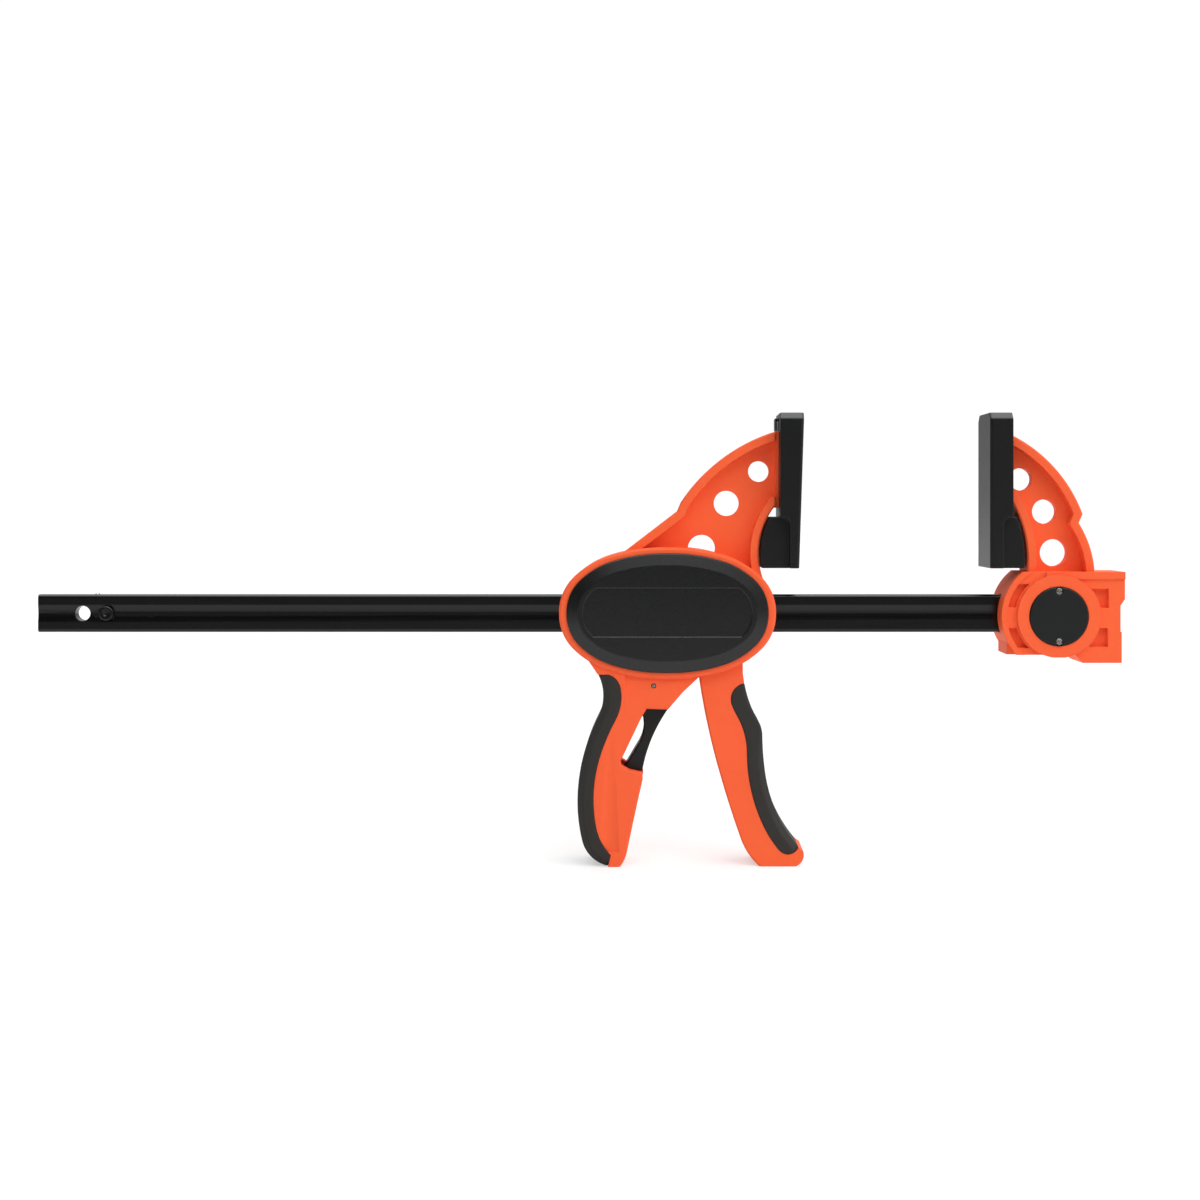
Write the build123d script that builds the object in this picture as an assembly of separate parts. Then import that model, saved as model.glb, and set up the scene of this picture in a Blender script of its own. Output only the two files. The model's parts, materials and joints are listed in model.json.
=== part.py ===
"""One-handed trigger bar clamp, 12 inch class, standing on its handle and lever.

Frame: X runs along the bar towards the fixed jaw, Y across the clamp, Z up.  The feet stand on
Z = 0 and X = 0 is the middle of the clamp's length.  All sizes are in mm.

Each group is drawn round its own centre and then placed: the head's centre is the middle of its
oval, the far jaw's centre is its lock hole, and both have z = 0 on the bar's centre line.
"""
from build123d import *
import math
import os

os.makedirs("parts", exist_ok=True)

# ---------------------------------------------------------------- driving dimensions
# Places of the groups
BAR_AXIS_Z = 124.0        # bar's centre line over the feet
HEAD_X = 44.2             # middle of the oval
LOCK_X = 236.5            # lock hole of the far jaw

# Steel bar
BAR_HEIGHT = 18.8
BAR_THICKNESS = 6.4
BAR_EDGE_RADIUS = 1.6
BAR_LEFT_X = -269.4
BAR_PAST_LOCK = 22.2      # bar's end beyond the lock hole
GROOVE_WIDTH = 8.4        # rolled groove along each face
GROOVE_DEPTH = 0.5
BAR_HOLE_RADIUS = 3.75    # spare hole and lock hole
SPARE_HOLE_IN = 22.2      # from the bar's free end
STOP_PIN_IN = 34.3
STOP_PIN_RADIUS = 3.0
STOP_HEAD_RADIUS = 3.6
STOP_HEAD_HEIGHT = 2.2
STOP_DIMPLE_RADIUS = 1.3
STOP_DIMPLE_DEPTH = 0.6

# Oval housing, its centre a little over the bar's centre line
OVAL_RISE = 0.8
OVAL_RIM_A = 53.3
OVAL_RIM_B = 32.2
OVAL_HALF_WIDTH = 16.0
OVAL_CHAMFER = 1.0
OVAL_ARCS = 12            # arcs that an oval is drawn with
OVAL_FULLNESS = 2.2       # 2 is an ellipse, more fills the corners
COVER_A = 49.4
COVER_B = 29.1
COVER_SEAT_Y = 14.2       # floor of the recess that holds a cover
COVER_SIDE_Y = 17.1       # top of the cover's straight edge
COVER_TOP_Y = 18.6
COVER_SLOPE_A = 5.4       # width of the sloping border at the ends and at the top
COVER_SLOPE_B = 5.6
BAND_INSET = 2.4          # sunk band, in from the plateau's ends
BAND_LOW = -11.5
BAND_HIGH = 12.5
BAND_DEPTH = 0.8
PEG_X = 42.5
PEG_RADIUS = 2.0
PEG_LENGTH = 4.5

# Mechanism rooms inside the oval
ROOM_HALF_WIDTH = 11.4
ROOM_WALL = 4.0           # oval wall above the mechanism
BRAKE_ROOM_LEFT = -29.2
DIVIDER_LEFT = -10.0
DIVIDER_RIGHT = -6.2
LEVER_ROOM_RIGHT = 37.5

# Squeeze lever
LEVER_PIVOT_X = 23.8
LEVER_PIVOT_Z = 18.0
LEVER_PIN_RADIUS = 3.0
LEVER_BOSS_RADIUS = 6.3
LEVER_NECK_HALF = 11.0
LEVER_GRIP_HALF = 13.2
LEVER_WIDENS_Z = -54.0    # neck starts to widen here and is full below
LEVER_WIDE_Z = -74.0
NOSE_DROP = 25.0          # nose that pushes the plates, below the pivot
NOSE_RADIUS = 4.2
FORK_TOP_Z = -15.0        # bridge under the bar, between the fork's arms
FORK_GAP = 1.0            # fork's arms from the bar, each side
LEVER_CORE_HALF = 8.0     # core inside the overmould
LEVER_CHAMFER = 0.8

# Drive plates and spring
PLATE_COUNT = 3
PLATE_THICKNESS = 2.0
PLATES_RIGHT = 15.2
PLATE_HALF_WIDTH = 9.5
PLATE_BELOW = 18.0        # plate's reach below and above the bar's centre line
PLATE_ABOVE = 15.0
PLATE_CORNER = 2.0
PLATE_GAP = 0.15          # plate's slot round the bar, each side
DRIVE_WIRE = 1.2
DRIVE_COIL_RADIUS = 10.5
DRIVE_TURNS = 3.5

# Brake plate and spring
BRAKE_TILT = 2.5          # degrees, lower end towards the far jaw
BRAKE_THICKNESS = 3.0
BRAKE_HALF_WIDTH = 9.0
BRAKE_FULCRUM_X = -16.0
BRAKE_FULCRUM_Z = 17.5
BRAKE_OVER_FULCRUM = 2.0
BRAKE_LENGTH = 63.5
BRAKE_GAP = 0.25          # brake's slot round the bar, each side, with room for its tilt
BRAKE_SPRING_Z = -20.0
BRAKE_COIL_RADIUS = 3.2
BRAKE_WIRE = 0.9
BRAKE_TURNS = 5.5
BRAKE_SPRING_SINK = 3.0   # depth of the spring's pocket
BRAKE_NOTCH_HALF = 2.1    # notch that holds the brake's upper end

# Release trigger
TRIGGER_PIVOT_X = -6.85
TRIGGER_PIVOT_Z = -35.1
TRIGGER_PIN_RADIUS = 1.25
TRIGGER_PIN_SUNK = 0.5
TRIGGER_HUB_RADIUS = 4.0
TRIGGER_HALF_WIDTH = 7.5
TRIGGER_CHAMFER = 0.6
TRIGGER_ROOM_GAP = 0.8    # trigger in its groove, each side

# Handle
HANDLE_HALF_WIDTH = 14.6
HANDLE_CHAMFER = 0.8
HANDLE_CORE_HALF = 10.0   # core inside the overmould
FLANK_HALF_WIDTH = 13.4   # sunk web under the oval
WEB_LEFT = -20.8
WEB_DEEP_Z = -32.0        # web is at its full depth above here and fades out below
WEB_FADE_Z = -46.0
OVERMOULD = 3.2           # thickness of the overmoulds
GRIP_PROUD = 0.4          # overmoulds stand this much proud of the sides
GRIP_CHAMFER = 3.0
SCOOP_X = -28.4           # hollow along the handle's side: its middle and its lower end
SCOOP_LOW = -117.0
SCOOP_LENGTH = 58.0
SCOOP_DEPTH = 1.1         # at its lower end
SCOOP_RADIUS = 11.0

# Jaw arms
ARM_HALF_WIDTH = 10.0
ARM_WEB_HALF = 2.75
ARM_FLANGE = 4.2
ARM_CHAMFER = 0.7
ARM_POCKET_CORNER = 2.0
MOVABLE_BACK = 55.3       # plane where the pad meets the jaw, from the oval's centre
MOVABLE_HOLLOW = 38.1     # radius of the arm's hollow edge
MOVABLE_HOLLOW_OUT = 27.9 # its centre beyond the pad's plane
MOVABLE_HOLLOW_Z = 30.0
FIXED_BACK = -22.6        # the same for the far jaw, from the lock hole
FIXED_HOLLOW = 57.0
FIXED_HOLLOW_OUT = 48.7
FIXED_HOLLOW_Z = 27.0
PAD_OVER_MOVABLE = 9.1    # pad's top over the arm's top
PAD_OVER_FIXED = 10.6
PAD_PLATE = 1.8           # plate behind the movable pad
PAD_PLATE_HALF = 6.0
PAD_PLATE_LOW = 52.6
PAD_PLATE_OVER = 0.2      # plate's top over the arm's top

# Rails that the pads clip on
RAIL_FROM_TOP = 15.5
RAIL_LENGTH = 27.0
RAIL_NECK_HALF = 3.5
RAIL_NECK_LENGTH = 2.6
RAIL_HEAD_HALF = 8.0
RAIL_HEAD_LENGTH = 2.6

# Pads
PAD_LOW = 22.8
PAD_HIGH = 99.5
PAD_HALF_WIDTH = 16.5
PAD_TOP_CHAMFER = 3.0
PAD_FACE_CHAMFER = 0.8
PAD_SIDE_STEP = 4.6       # sunk side beside the rear block
PAD_STEP_CORNER = 4.0
PAD_BLOCK_HEIGHT = 25.4
PAD_BLOCK_HALF = 12.0
PAD_BLOCK_REACH = 14.0
PAD_TOP_DEPTH = 11.9      # movable pad leans: thicker at the top
PAD_LOW_DEPTH = 9.4
FIXED_PAD_DEPTH = 11.4
PAD_LIP = 0.9             # lip of the movable pad over the jaw's plate
PAD_LIP_DROP = 2.3
PAD_LIP_ROOT = 1.6

# Far jaw's housing
HOUSING_RIGHT = 32.9
HOUSING_HIGH = 21.0
HOUSING_LOW = -19.8
HOUSING_FOOT = -23.8
HOUSING_HALF_WIDTH = 13.2
HOUSING_BACK_HALF = 10.5
HOUSING_ROUND = 28.0
LOCK_DROP = 0.8           # button's axis under the bar's centre line
RING_RADIUS = 20.4
RING_HALF_WIDTH = 15.2
RIM_WIDTH = 2.8
RIM_HALF_WIDTH = 14.2
LIP_HEIGHT = 3.6
SLOT_INNER_RADIUS = 21.2
POCKET_DEPTH = 3.2

# Jaw lock
BUTTON_RADIUS = 14.4
BUTTON_FACE_Y = -15.9
BUTTON_LENGTH = 5.4
BUTTON_SKIRT = 3.2
BUTTON_CAP = 2.2
LOCK_FLOOR_Y = 5.4        # half thickness of the floor between the two bores
CARRIER_THICKNESS = 4.0
GUIDE_PIN_RADIUS = 1.62
GUIDE_PIN_OFFSET = 12.4
GUIDE_SLOT_WIDTH = 0.8
GUIDE_SLOT_DEPTH = 0.9
LOCK_PIN_RADIUS = 3.68
LOCK_PIN_TIP_Y = -1.2
LOCK_WIRE = 1.0
LOCK_COIL_RADIUS = 9.2
LOCK_TURNS = 2.5

# Clearances
SLOT_CLEARANCE = 0.15     # bar in a moulded slot, each side
HOLE_CLEARANCE = 0.05     # pin in a turning or sliding hole, on the radius
SEAT_CLEARANCE = 0.3      # parts that meet but must not bind
BORE_CLEARANCE = 0.25     # button and carrier in their bores
MOVABLE_BLOCK_GAP = 0.7   # pad's rear block from the arm's hollow edge
FIXED_BLOCK_GAP = 1.7

BEYOND = 60.0             # reach of cutting tools past what they cut
WIRE_SIDES = 6            # springs are drawn with six-sided wire in straight pieces
WIRE_PIECES = 12          # pieces in one turn


# ---------------------------------------------------------------- shape helpers
def at(x, z):
    """A point in the middle of the clamp's thickness."""
    return Vector(x, 0, z)


def path(*stops):
    """Straight edges through the points."""
    return [Edge.make_line(start, end) for start, end in zip(stops, stops[1:])]


def flow(heading, *stops):
    """Arcs through the points, each running smoothly into the next; the first leaves at heading degrees."""
    direction = at(math.cos(math.radians(heading)), math.sin(math.radians(heading)))
    arcs = []
    for start, end in zip(stops, stops[1:]):
        arc = Edge.make_tangent_arc(start, direction, end)
        direction = arc % 1
        arcs.append(arc)
    return arcs


def bow(start, end, rise):
    """Arc from start to end that stands off its chord by rise, to the left as it runs."""
    along = (end - start).normalized()
    crown = (start + end) * 0.5 + Vector(-along.Z, 0, along.X) * rise
    return Edge.make_three_point_arc(start, crown, end)


def slab(edges, y_low, y_high):
    """Solid between two Y planes whose closed outline is drawn in x and z."""
    outline = Face(Wire(edges))
    return Solid.extrude(outline.moved(Location((0, y_low, 0))), Vector(0, y_high - y_low, 0))


def even_slab(edges, half_width):
    """Slab that reaches the same distance to both sides of the bar."""
    return slab(edges, -half_width, half_width)


def block(x_low, x_high, y_low, y_high, z_low, z_high):
    """Box between six planes."""
    corner = Plane(origin=(x_low, y_low, z_low))
    return Solid.make_box(x_high - x_low, y_high - y_low, z_high - z_low, corner)


def even_block(x_low, x_high, half_width, z_low, z_high):
    """Box that reaches the same distance to both sides of the bar."""
    return block(x_low, x_high, -half_width, half_width, z_low, z_high)


def rod(x, z, radius, y_low, y_high):
    """Cylinder across the clamp."""
    return Solid.make_cylinder(radius, y_high - y_low, Plane(origin=(x, y_low, z), z_dir=(0, 1, 0)))


def both_sides(solid):
    """The solid and its mirror image on the other side of the bar."""
    return [solid, solid.mirror(Plane.XZ)]


def chamfered(solid, half_width, size):
    """Chamfer every edge that lies in one of the two side planes."""
    def lies_there(edge):
        box = edge.bounding_box()
        return box.size.Y < 1e-4 and abs(abs(box.max.Y) - half_width) < 1e-4

    return solid.chamfer(size, None, [edge for edge in solid.edges() if lies_there(edge)])


def bar_room(clearance):
    """Room for the bar's section, larger all round by clearance."""
    half_height = BAR_HEIGHT / 2 + clearance
    return even_block(-2 * BEYOND, 2 * BEYOND, BAR_THICKNESS / 2 + clearance, -half_height, half_height)


def coil(radius, wire, turns, length, origin, direction):
    """Open compression spring from origin along direction, its wire drawn in straight pieces."""
    lift = length - wire
    helix = Edge.make_helix(lift / turns, lift, radius, (0, 0, wire / 2))
    pieces = round(turns * WIRE_PIECES)
    turns_of_ring = [2 * math.pi * corner / WIRE_SIDES for corner in range(WIRE_SIDES)]
    section = [(wire / 2 * math.cos(turn), wire / 2 * math.sin(turn)) for turn in turns_of_ring]
    rings = []
    for step in range(pieces + 1):
        middle = helix @ (step / pieces)
        plane = Plane(middle, Vector(middle.X, middle.Y, 0), helix % (step / pieces))
        rings.append(plane.location * Wire.make_polygon(section))
    return Plane(origin=origin, z_dir=direction).location * Solid.make_loft(rings, True)


def save(solid, node, group_x=0.0):
    """Place a sub-part with its group and write its STEP file."""
    placed = Location((group_x, 0, BAR_AXIS_Z)) * solid
    export_step(placed, "parts/" + node + ".step")


def edges_along(solid, guide, low=-BAR_AXIS_Z, high=BAR_AXIS_Z):
    """Edges of a solid that run along the guide's edges when seen from the side, between two heights."""
    line = Wire(guide)

    def follows(edge):
        stops = [edge @ 0, edge @ 0.5, edge @ 1]
        spread = (at(stops[0].X, stops[0].Z) - at(stops[1].X, stops[1].Z)).length
        inside = all(low - 0.01 < stop.Z < high + 0.01 for stop in stops)
        return inside and spread > 1e-3 and all(line.distance_to(Vertex(p.X, 0, p.Z)) < 1e-3 for p in stops)

    return [edge for edge in solid.edges() if follows(edge)]


# ---------------------------------------------------------------- the bar
def make_bar():
    """Flat bar with rounded long edges, a hollow groove on each face and its three holes."""
    right = LOCK_X + BAR_PAST_LOCK
    bar = even_block(BAR_LEFT_X, right, BAR_THICKNESS / 2, -BAR_HEIGHT / 2, BAR_HEIGHT / 2)
    long_edges = [edge for edge in bar.edges() if edge.length > right - BAR_LEFT_X - 1]
    bar = bar.fillet(BAR_EDGE_RADIUS, long_edges)
    groove_floor = BAR_THICKNESS / 2 - GROOVE_DEPTH
    groove_radius = GROOVE_WIDTH**2 / (8 * GROOVE_DEPTH) + GROOVE_DEPTH / 2
    start = Plane(origin=(BAR_LEFT_X - 1, groove_floor + groove_radius, 0), z_dir=(1, 0, 0))
    groove = Solid.make_cylinder(groove_radius, right - BAR_LEFT_X + 2, start)
    stop_x = BAR_LEFT_X + STOP_PIN_IN
    head_seat = rod(stop_x, 0, STOP_HEAD_RADIUS, groove_floor, BAR_THICKNESS)
    for cutter in both_sides(groove) + both_sides(head_seat):
        bar -= cutter
    for x in (BAR_LEFT_X + SPARE_HOLE_IN, LOCK_X):
        bar -= rod(x, 0, BAR_HOLE_RADIUS, -BAR_THICKNESS, BAR_THICKNESS)
    return bar - rod(stop_x, 0, STOP_PIN_RADIUS, -BAR_THICKNESS, BAR_THICKNESS)


def make_stop_pin():
    """Riveted pin with a dimpled head on each face of the bar."""
    x = BAR_LEFT_X + STOP_PIN_IN
    seat = BAR_THICKNESS / 2 - GROOVE_DEPTH
    top = seat + STOP_HEAD_HEIGHT
    pin = rod(x, 0, STOP_PIN_RADIUS, -seat, seat)
    head = rod(x, 0, STOP_HEAD_RADIUS, seat, top)
    head -= rod(x, 0, STOP_DIMPLE_RADIUS, top - STOP_DIMPLE_DEPTH, top)
    for side in both_sides(head):
        pin += side
    return pin


# ---------------------------------------------------------------- jaw arms
MOVABLE_HOLES = [(45.4, 70.7, 5.2), (29.4, 54.8, 6.3), (17.0, 32.3, 6.8)]
FIXED_HOLES = [(-16.4, 66.8, 5.6), (-4.5, 50.7, 6.1), (0.1, 30.2, 6.8)]


def pad_side(top, low, extra):
    """Edges down the arm's pad side; extra carries them past it, so that no flange is left there."""
    if extra == 0:
        return path(top, low)
    shift = Vector(extra, 0, 0)
    return path(top, top + shift, low + shift, low)


def movable_arm_outline(extra):
    """Outline of the movable jaw's arm; its foot lies inside the oval."""
    plate_x = MOVABLE_BACK - PAD_PLATE
    centre_x = MOVABLE_BACK + MOVABLE_HOLLOW_OUT
    top = at(plate_x, PAD_HIGH - PAD_OVER_MOVABLE)
    foot_z = 13.0
    low = at(plate_x, MOVABLE_HOLLOW_Z + math.sqrt(MOVABLE_HOLLOW**2 - (centre_x - plate_x) ** 2))
    foot = at(centre_x - math.sqrt(MOVABLE_HOLLOW**2 - (MOVABLE_HOLLOW_Z - foot_z) ** 2), foot_z)
    edges = path(at(-26.2, 27.2), at(4.8, 50.9), at(6.7, 55.4))
    edges.append(bow(at(6.7, 55.4), top, 5.1))
    edges += pad_side(top, low, extra)
    edges.append(Edge.make_three_point_arc(low, at(centre_x - MOVABLE_HOLLOW, MOVABLE_HOLLOW_Z), foot))
    edges += path(foot, at(35.8, 6.0), at(-26.2, 6.0), at(-26.2, 27.2))
    return edges


def fixed_arm_outline(extra):
    """Outline of the far jaw's arm; its foot lies inside the housing."""
    centre_x = FIXED_BACK - FIXED_HOLLOW_OUT
    waist = at(centre_x + FIXED_HOLLOW, FIXED_HOLLOW_Z)
    top = at(FIXED_BACK, PAD_HIGH - PAD_OVER_FIXED)
    low = at(FIXED_BACK, FIXED_HOLLOW_Z + math.sqrt(FIXED_HOLLOW**2 - FIXED_HOLLOW_OUT**2))
    edges = path(at(waist.X - 0.2, 14.0), waist)
    edges.append(Edge.make_tangent_arc(waist, Vector(0, 0, 1), low))
    edges += pad_side(top, low, -extra)
    edges.append(bow(top, at(13.0, 49.5), 5.1))
    edges += path(at(13.0, 49.5), at(11.1, 45.1))
    edges.append(bow(at(11.1, 45.1), at(19.0, 20.0), 1.7))
    edges += path(at(19.0, 20.0), at(18.5, 14.0), at(waist.X - 0.2, 14.0))
    return edges


def webbed_arm(outline, holes):
    """Arm with flanges on its edges, a thin web between them and round holes through the web."""
    arm = chamfered(even_slab(outline(0), ARM_HALF_WIDTH), ARM_HALF_WIDTH, ARM_CHAMFER)
    inset = offset(
        Face(Wire(outline(2 * ARM_FLANGE))), -ARM_FLANGE - ARM_POCKET_CORNER, kind=Kind.INTERSECTION
    )
    pocket = offset(inset, ARM_POCKET_CORNER, kind=Kind.ARC).faces()[0]
    pocket = pocket.moved(Location((0, ARM_WEB_HALF, 0)))
    for cutter in both_sides(Solid.extrude(pocket, Vector(0, ARM_HALF_WIDTH, 0))):
        arm -= cutter
    for x, z, radius in holes:
        arm -= rod(x, z, radius, -ARM_HALF_WIDTH, ARM_HALF_WIDTH)
    return arm


def pad_rail(back_x, side, extra):
    """T-shaped rail that the pad clips on; extra makes the room for it in the pad."""
    root = back_x - side * PAD_PLATE / 2
    neck_end = back_x + side * RAIL_NECK_LENGTH
    head_end = neck_end + side * (RAIL_HEAD_LENGTH + extra)
    high = PAD_HIGH - RAIL_FROM_TOP + extra
    low = PAD_HIGH - RAIL_FROM_TOP - RAIL_LENGTH - extra
    neck_low, neck_high = sorted((root, neck_end))
    head_low, head_high = sorted((neck_end - side * extra, head_end))
    neck = even_block(neck_low, neck_high, RAIL_NECK_HALF + extra, low, high)
    return neck + even_block(head_low, head_high, RAIL_HEAD_HALF + extra, low, high)


# ---------------------------------------------------------------- pads
def make_pad(back_x, side, depth_top, depth_low, block_circle):
    """Clamping pad whose face looks along side; its rear block follows the arm's hollow edge."""
    def out(distance, z):
        return at(back_x + side * distance, z)

    body = even_slab(path(
        out(0, PAD_LOW), out(depth_low, PAD_LOW), out(depth_top, PAD_HIGH), out(0, PAD_HIGH),
        out(0, PAD_LOW),
    ), PAD_HALF_WIDTH)
    top_line = path(out(0, PAD_HIGH), out(depth_top, PAD_HIGH))
    face_line = path(out(depth_low, PAD_LOW), out(depth_top, PAD_HIGH))
    body = body.chamfer(PAD_TOP_CHAMFER, None, edges_along(body, top_line))
    body = body.chamfer(PAD_FACE_CHAMFER, None, edges_along(body, face_line))

    # side walls set back beside the rear block, with a round upper corner
    shelf = PAD_LOW + PAD_BLOCK_HEIGHT
    corner_low = out(PAD_SIDE_STEP, shelf - PAD_STEP_CORNER)
    corner_high = out(PAD_SIDE_STEP - PAD_STEP_CORNER, shelf)
    step = path(out(-1, PAD_LOW - 1), out(PAD_SIDE_STEP, PAD_LOW - 1), corner_low)
    step.append(Edge.make_tangent_arc(corner_low, Vector(0, 0, 1), corner_high))
    step += path(corner_high, out(-1, shelf), out(-1, PAD_LOW - 1))
    for cutter in both_sides(slab(step, PAD_BLOCK_HALF, PAD_HALF_WIDTH + 1)):
        body -= cutter

    # rear block, cut to an arc round the arm's hollow edge
    low_x, high_x = sorted((back_x, back_x - side * PAD_BLOCK_REACH))
    rear = even_block(low_x, high_x, PAD_BLOCK_HALF, PAD_LOW, shelf)
    centre_x, centre_z, radius = block_circle
    rear &= rod(centre_x, centre_z, radius, -PAD_HALF_WIDTH, PAD_HALF_WIDTH)
    return body + rear - pad_rail(back_x, side, SLOT_CLEARANCE)


def make_movable_pad():
    """Pad of the movable jaw, with the lip that hooks over the jaw's plate."""
    circle = (MOVABLE_BACK + MOVABLE_HOLLOW_OUT, MOVABLE_HOLLOW_Z, MOVABLE_HOLLOW - MOVABLE_BLOCK_GAP)
    pad = make_pad(MOVABLE_BACK, 1, PAD_TOP_DEPTH, PAD_LOW_DEPTH, circle)
    plate_x = MOVABLE_BACK - PAD_PLATE
    lip_top = PAD_HIGH - PAD_LIP_DROP
    plate_top = PAD_HIGH - PAD_OVER_MOVABLE + PAD_PLATE_OVER
    pad += even_block(plate_x, MOVABLE_BACK, PAD_PLATE_HALF - 1, lip_top - PAD_LIP_ROOT, lip_top)
    pad += even_block(plate_x, plate_x + PAD_LIP, PAD_PLATE_HALF - 1, plate_top + SEAT_CLEARANCE, lip_top)
    return pad


def make_fixed_pad():
    """Pad of the far jaw."""
    circle = (FIXED_BACK - FIXED_HOLLOW_OUT, FIXED_HOLLOW_Z, FIXED_HOLLOW - FIXED_BLOCK_GAP)
    return make_pad(FIXED_BACK, -1, FIXED_PAD_DEPTH, FIXED_PAD_DEPTH, circle)


# ---------------------------------------------------------------- head body
GRIP_TOE = at(-29.3, -BAR_AXIS_Z)
GRIP_BACK = [at(-34.3, -29.4), at(-34.3, -50.7), at(-44.4, -89.1), at(-42.1, -111.7), GRIP_TOE]
GRIP_BACK_HEADING = -62.7
GRIP_SEAM = [
    at(-28.8, -29.5), at(-23.1, -35.9), at(-25.5, -51.7), at(-32.7, -68.3), at(-35.1, -104.4),
    at(-27.9, -118.2),
]
GRIP_SEAM_HEADING = -17.7


def oval_line(a, b, y=0.0):
    """Closed line of arcs round the housing's centre: an ellipse with fuller corners."""
    def fuller(value):
        return math.copysign(abs(value) ** (2 / OVAL_FULLNESS), value)

    def stop(step):
        turn = math.pi * step / OVAL_ARCS
        return Vector(a * fuller(math.cos(turn)), y, OVAL_RISE + b * fuller(math.sin(turn)))

    starts = range(0, 2 * OVAL_ARCS, 2)
    return [Edge.make_three_point_arc(stop(step), stop(step + 1), stop(step + 2)) for step in starts]


def oval(a, b, y_low, y_high):
    """Oval disc on the housing's centre."""
    return slab(oval_line(a, b), y_low, y_high)


def grip_seam():
    """Edges of the seam between the handle and its overmould, from the top down."""
    return flow(GRIP_SEAM_HEADING, *GRIP_SEAM) + path(GRIP_SEAM[-1], GRIP_TOE)


def handle_front():
    """Front edge of the handle from its toe, past the trigger's gap, up into the oval."""
    edges = flow(50.4, at(-23.4, -BAR_AXIS_Z), at(-20.0, -116.9), at(-12.2, -81.0))
    edges += path(
        at(-12.2, -81.0), at(-12.6, -77.9), at(-18.7, -76.6), at(-22.6, -74.4), at(-23.2, -72.3),
        at(-13.2, -51.4), at(-10.3, -46.3), at(0.2, -46.7), at(7.6, -38.1), at(14.5, -31.7),
        at(21.8, -25.0),
    )
    return edges


def make_handle():
    """Handle in front of the overmould's seam, and the narrower core inside the overmould."""
    front = handle_front()
    roof = path(at(21.8, -25.0), at(21.8, -20.0), at(-41.0, -19.5), GRIP_BACK[0], GRIP_SEAM[0])
    toe = path(GRIP_TOE, at(-23.4, -BAR_AXIS_Z))
    shell = even_slab(front + roof + grip_seam() + toe, HANDLE_HALF_WIDTH)
    shell = shell.chamfer(HANDLE_CHAMFER, None, edges_along(shell, front))
    for cutter in both_sides(side_scoop()):
        shell -= cutter
    inward = Vector(OVERMOULD, 0, 0)
    back = [stop + inward for stop in GRIP_BACK]
    core_edges = flow(GRIP_BACK_HEADING, *back)
    core_edges += path(
        back[-1], at(-25.2, -BAR_AXIS_Z), at(-30.2, -94.0), at(-18.2, -44.0), at(-18.2, -24.0),
        at(back[0].X, -24.0), back[0],
    )
    return shell + even_slab(core_edges, HANDLE_CORE_HALF)


def side_scoop():
    """Long shallow hollow for the finger tips on the handle's side; it fades out upwards."""
    lean = math.degrees(math.atan(SCOOP_DEPTH / SCOOP_LENGTH))
    axis_y = HANDLE_HALF_WIDTH - SCOOP_DEPTH + SCOOP_RADIUS
    foot = Plane(origin=(SCOOP_X, axis_y, SCOOP_LOW), z_dir=(0, 0, 1))
    return Solid.make_cylinder(SCOOP_RADIUS, SCOOP_LENGTH, foot.rotated((-lean, 0, 0)))


def web_recess():
    """Sunk web beside the handle under the oval; its floor rises to the handle's side."""
    floor = Wire.make_polygon([
        (WEB_LEFT, HANDLE_HALF_WIDTH, WEB_FADE_Z), (WEB_LEFT, FLANK_HALF_WIDTH, WEB_DEEP_Z),
        (WEB_LEFT, FLANK_HALF_WIDTH, 0), (WEB_LEFT, OVAL_HALF_WIDTH, 0),
        (WEB_LEFT, OVAL_HALF_WIDTH, WEB_FADE_Z),
    ])
    recess = Solid.extrude(Face(floor), Vector(OVAL_RIM_A, 0, 0))
    return recess - oval(OVAL_RIM_A, OVAL_RIM_B, 0, COVER_TOP_Y)


def mechanism_rooms():
    """Rooms for the lever, the plates and the brake, open at the bottom."""
    inner = oval(OVAL_RIM_A - ROOM_WALL, OVAL_RIM_B - ROOM_WALL, -ROOM_HALF_WIDTH, ROOM_HALF_WIDTH)
    lever_room = even_block(DIVIDER_RIGHT, LEVER_ROOM_RIGHT, ROOM_HALF_WIDTH, -28.0, BEYOND) & inner
    mouth = even_slab(path(
        at(DIVIDER_RIGHT, -26.0), at(LEVER_ROOM_RIGHT, -12.0), at(LEVER_ROOM_RIGHT, -64.0), at(1.0, -64.0),
        at(1.0, -48.0), at(-11.0, -48.0), at(-11.0, -30.0), at(DIVIDER_RIGHT, -26.0),
    ), ROOM_HALF_WIDTH)
    brake_room = even_slab(path(
        at(BRAKE_ROOM_LEFT, 12.0), at(DIVIDER_LEFT, 12.0), at(DIVIDER_LEFT, -48.0), at(-16.7, -48.0),
        at(-16.7, -29.0), at(BRAKE_ROOM_LEFT, -26.0), at(BRAKE_ROOM_LEFT, 12.0),
    ), ROOM_HALF_WIDTH)
    notch = even_block(
        BRAKE_FULCRUM_X - BRAKE_NOTCH_HALF, BRAKE_FULCRUM_X + BRAKE_NOTCH_HALF, ROOM_HALF_WIDTH,
        0, BRAKE_FULCRUM_Z + BRAKE_OVER_FULCRUM + 1.5,
    )
    return [lever_room, mouth, brake_room, notch]


def trigger_room():
    """Groove in the handle that the trigger's tip swings into."""
    return even_slab(path(
        at(-10.2, -82.0), at(-22.2, -79.5), at(-27.4, -76.0), at(-24.7, -70.0), at(-16.6, -47.0),
        at(1.0, -46.5), at(1.0, -64.0), at(-10.2, -82.0),
    ), TRIGGER_HALF_WIDTH + TRIGGER_ROOM_GAP)


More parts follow.
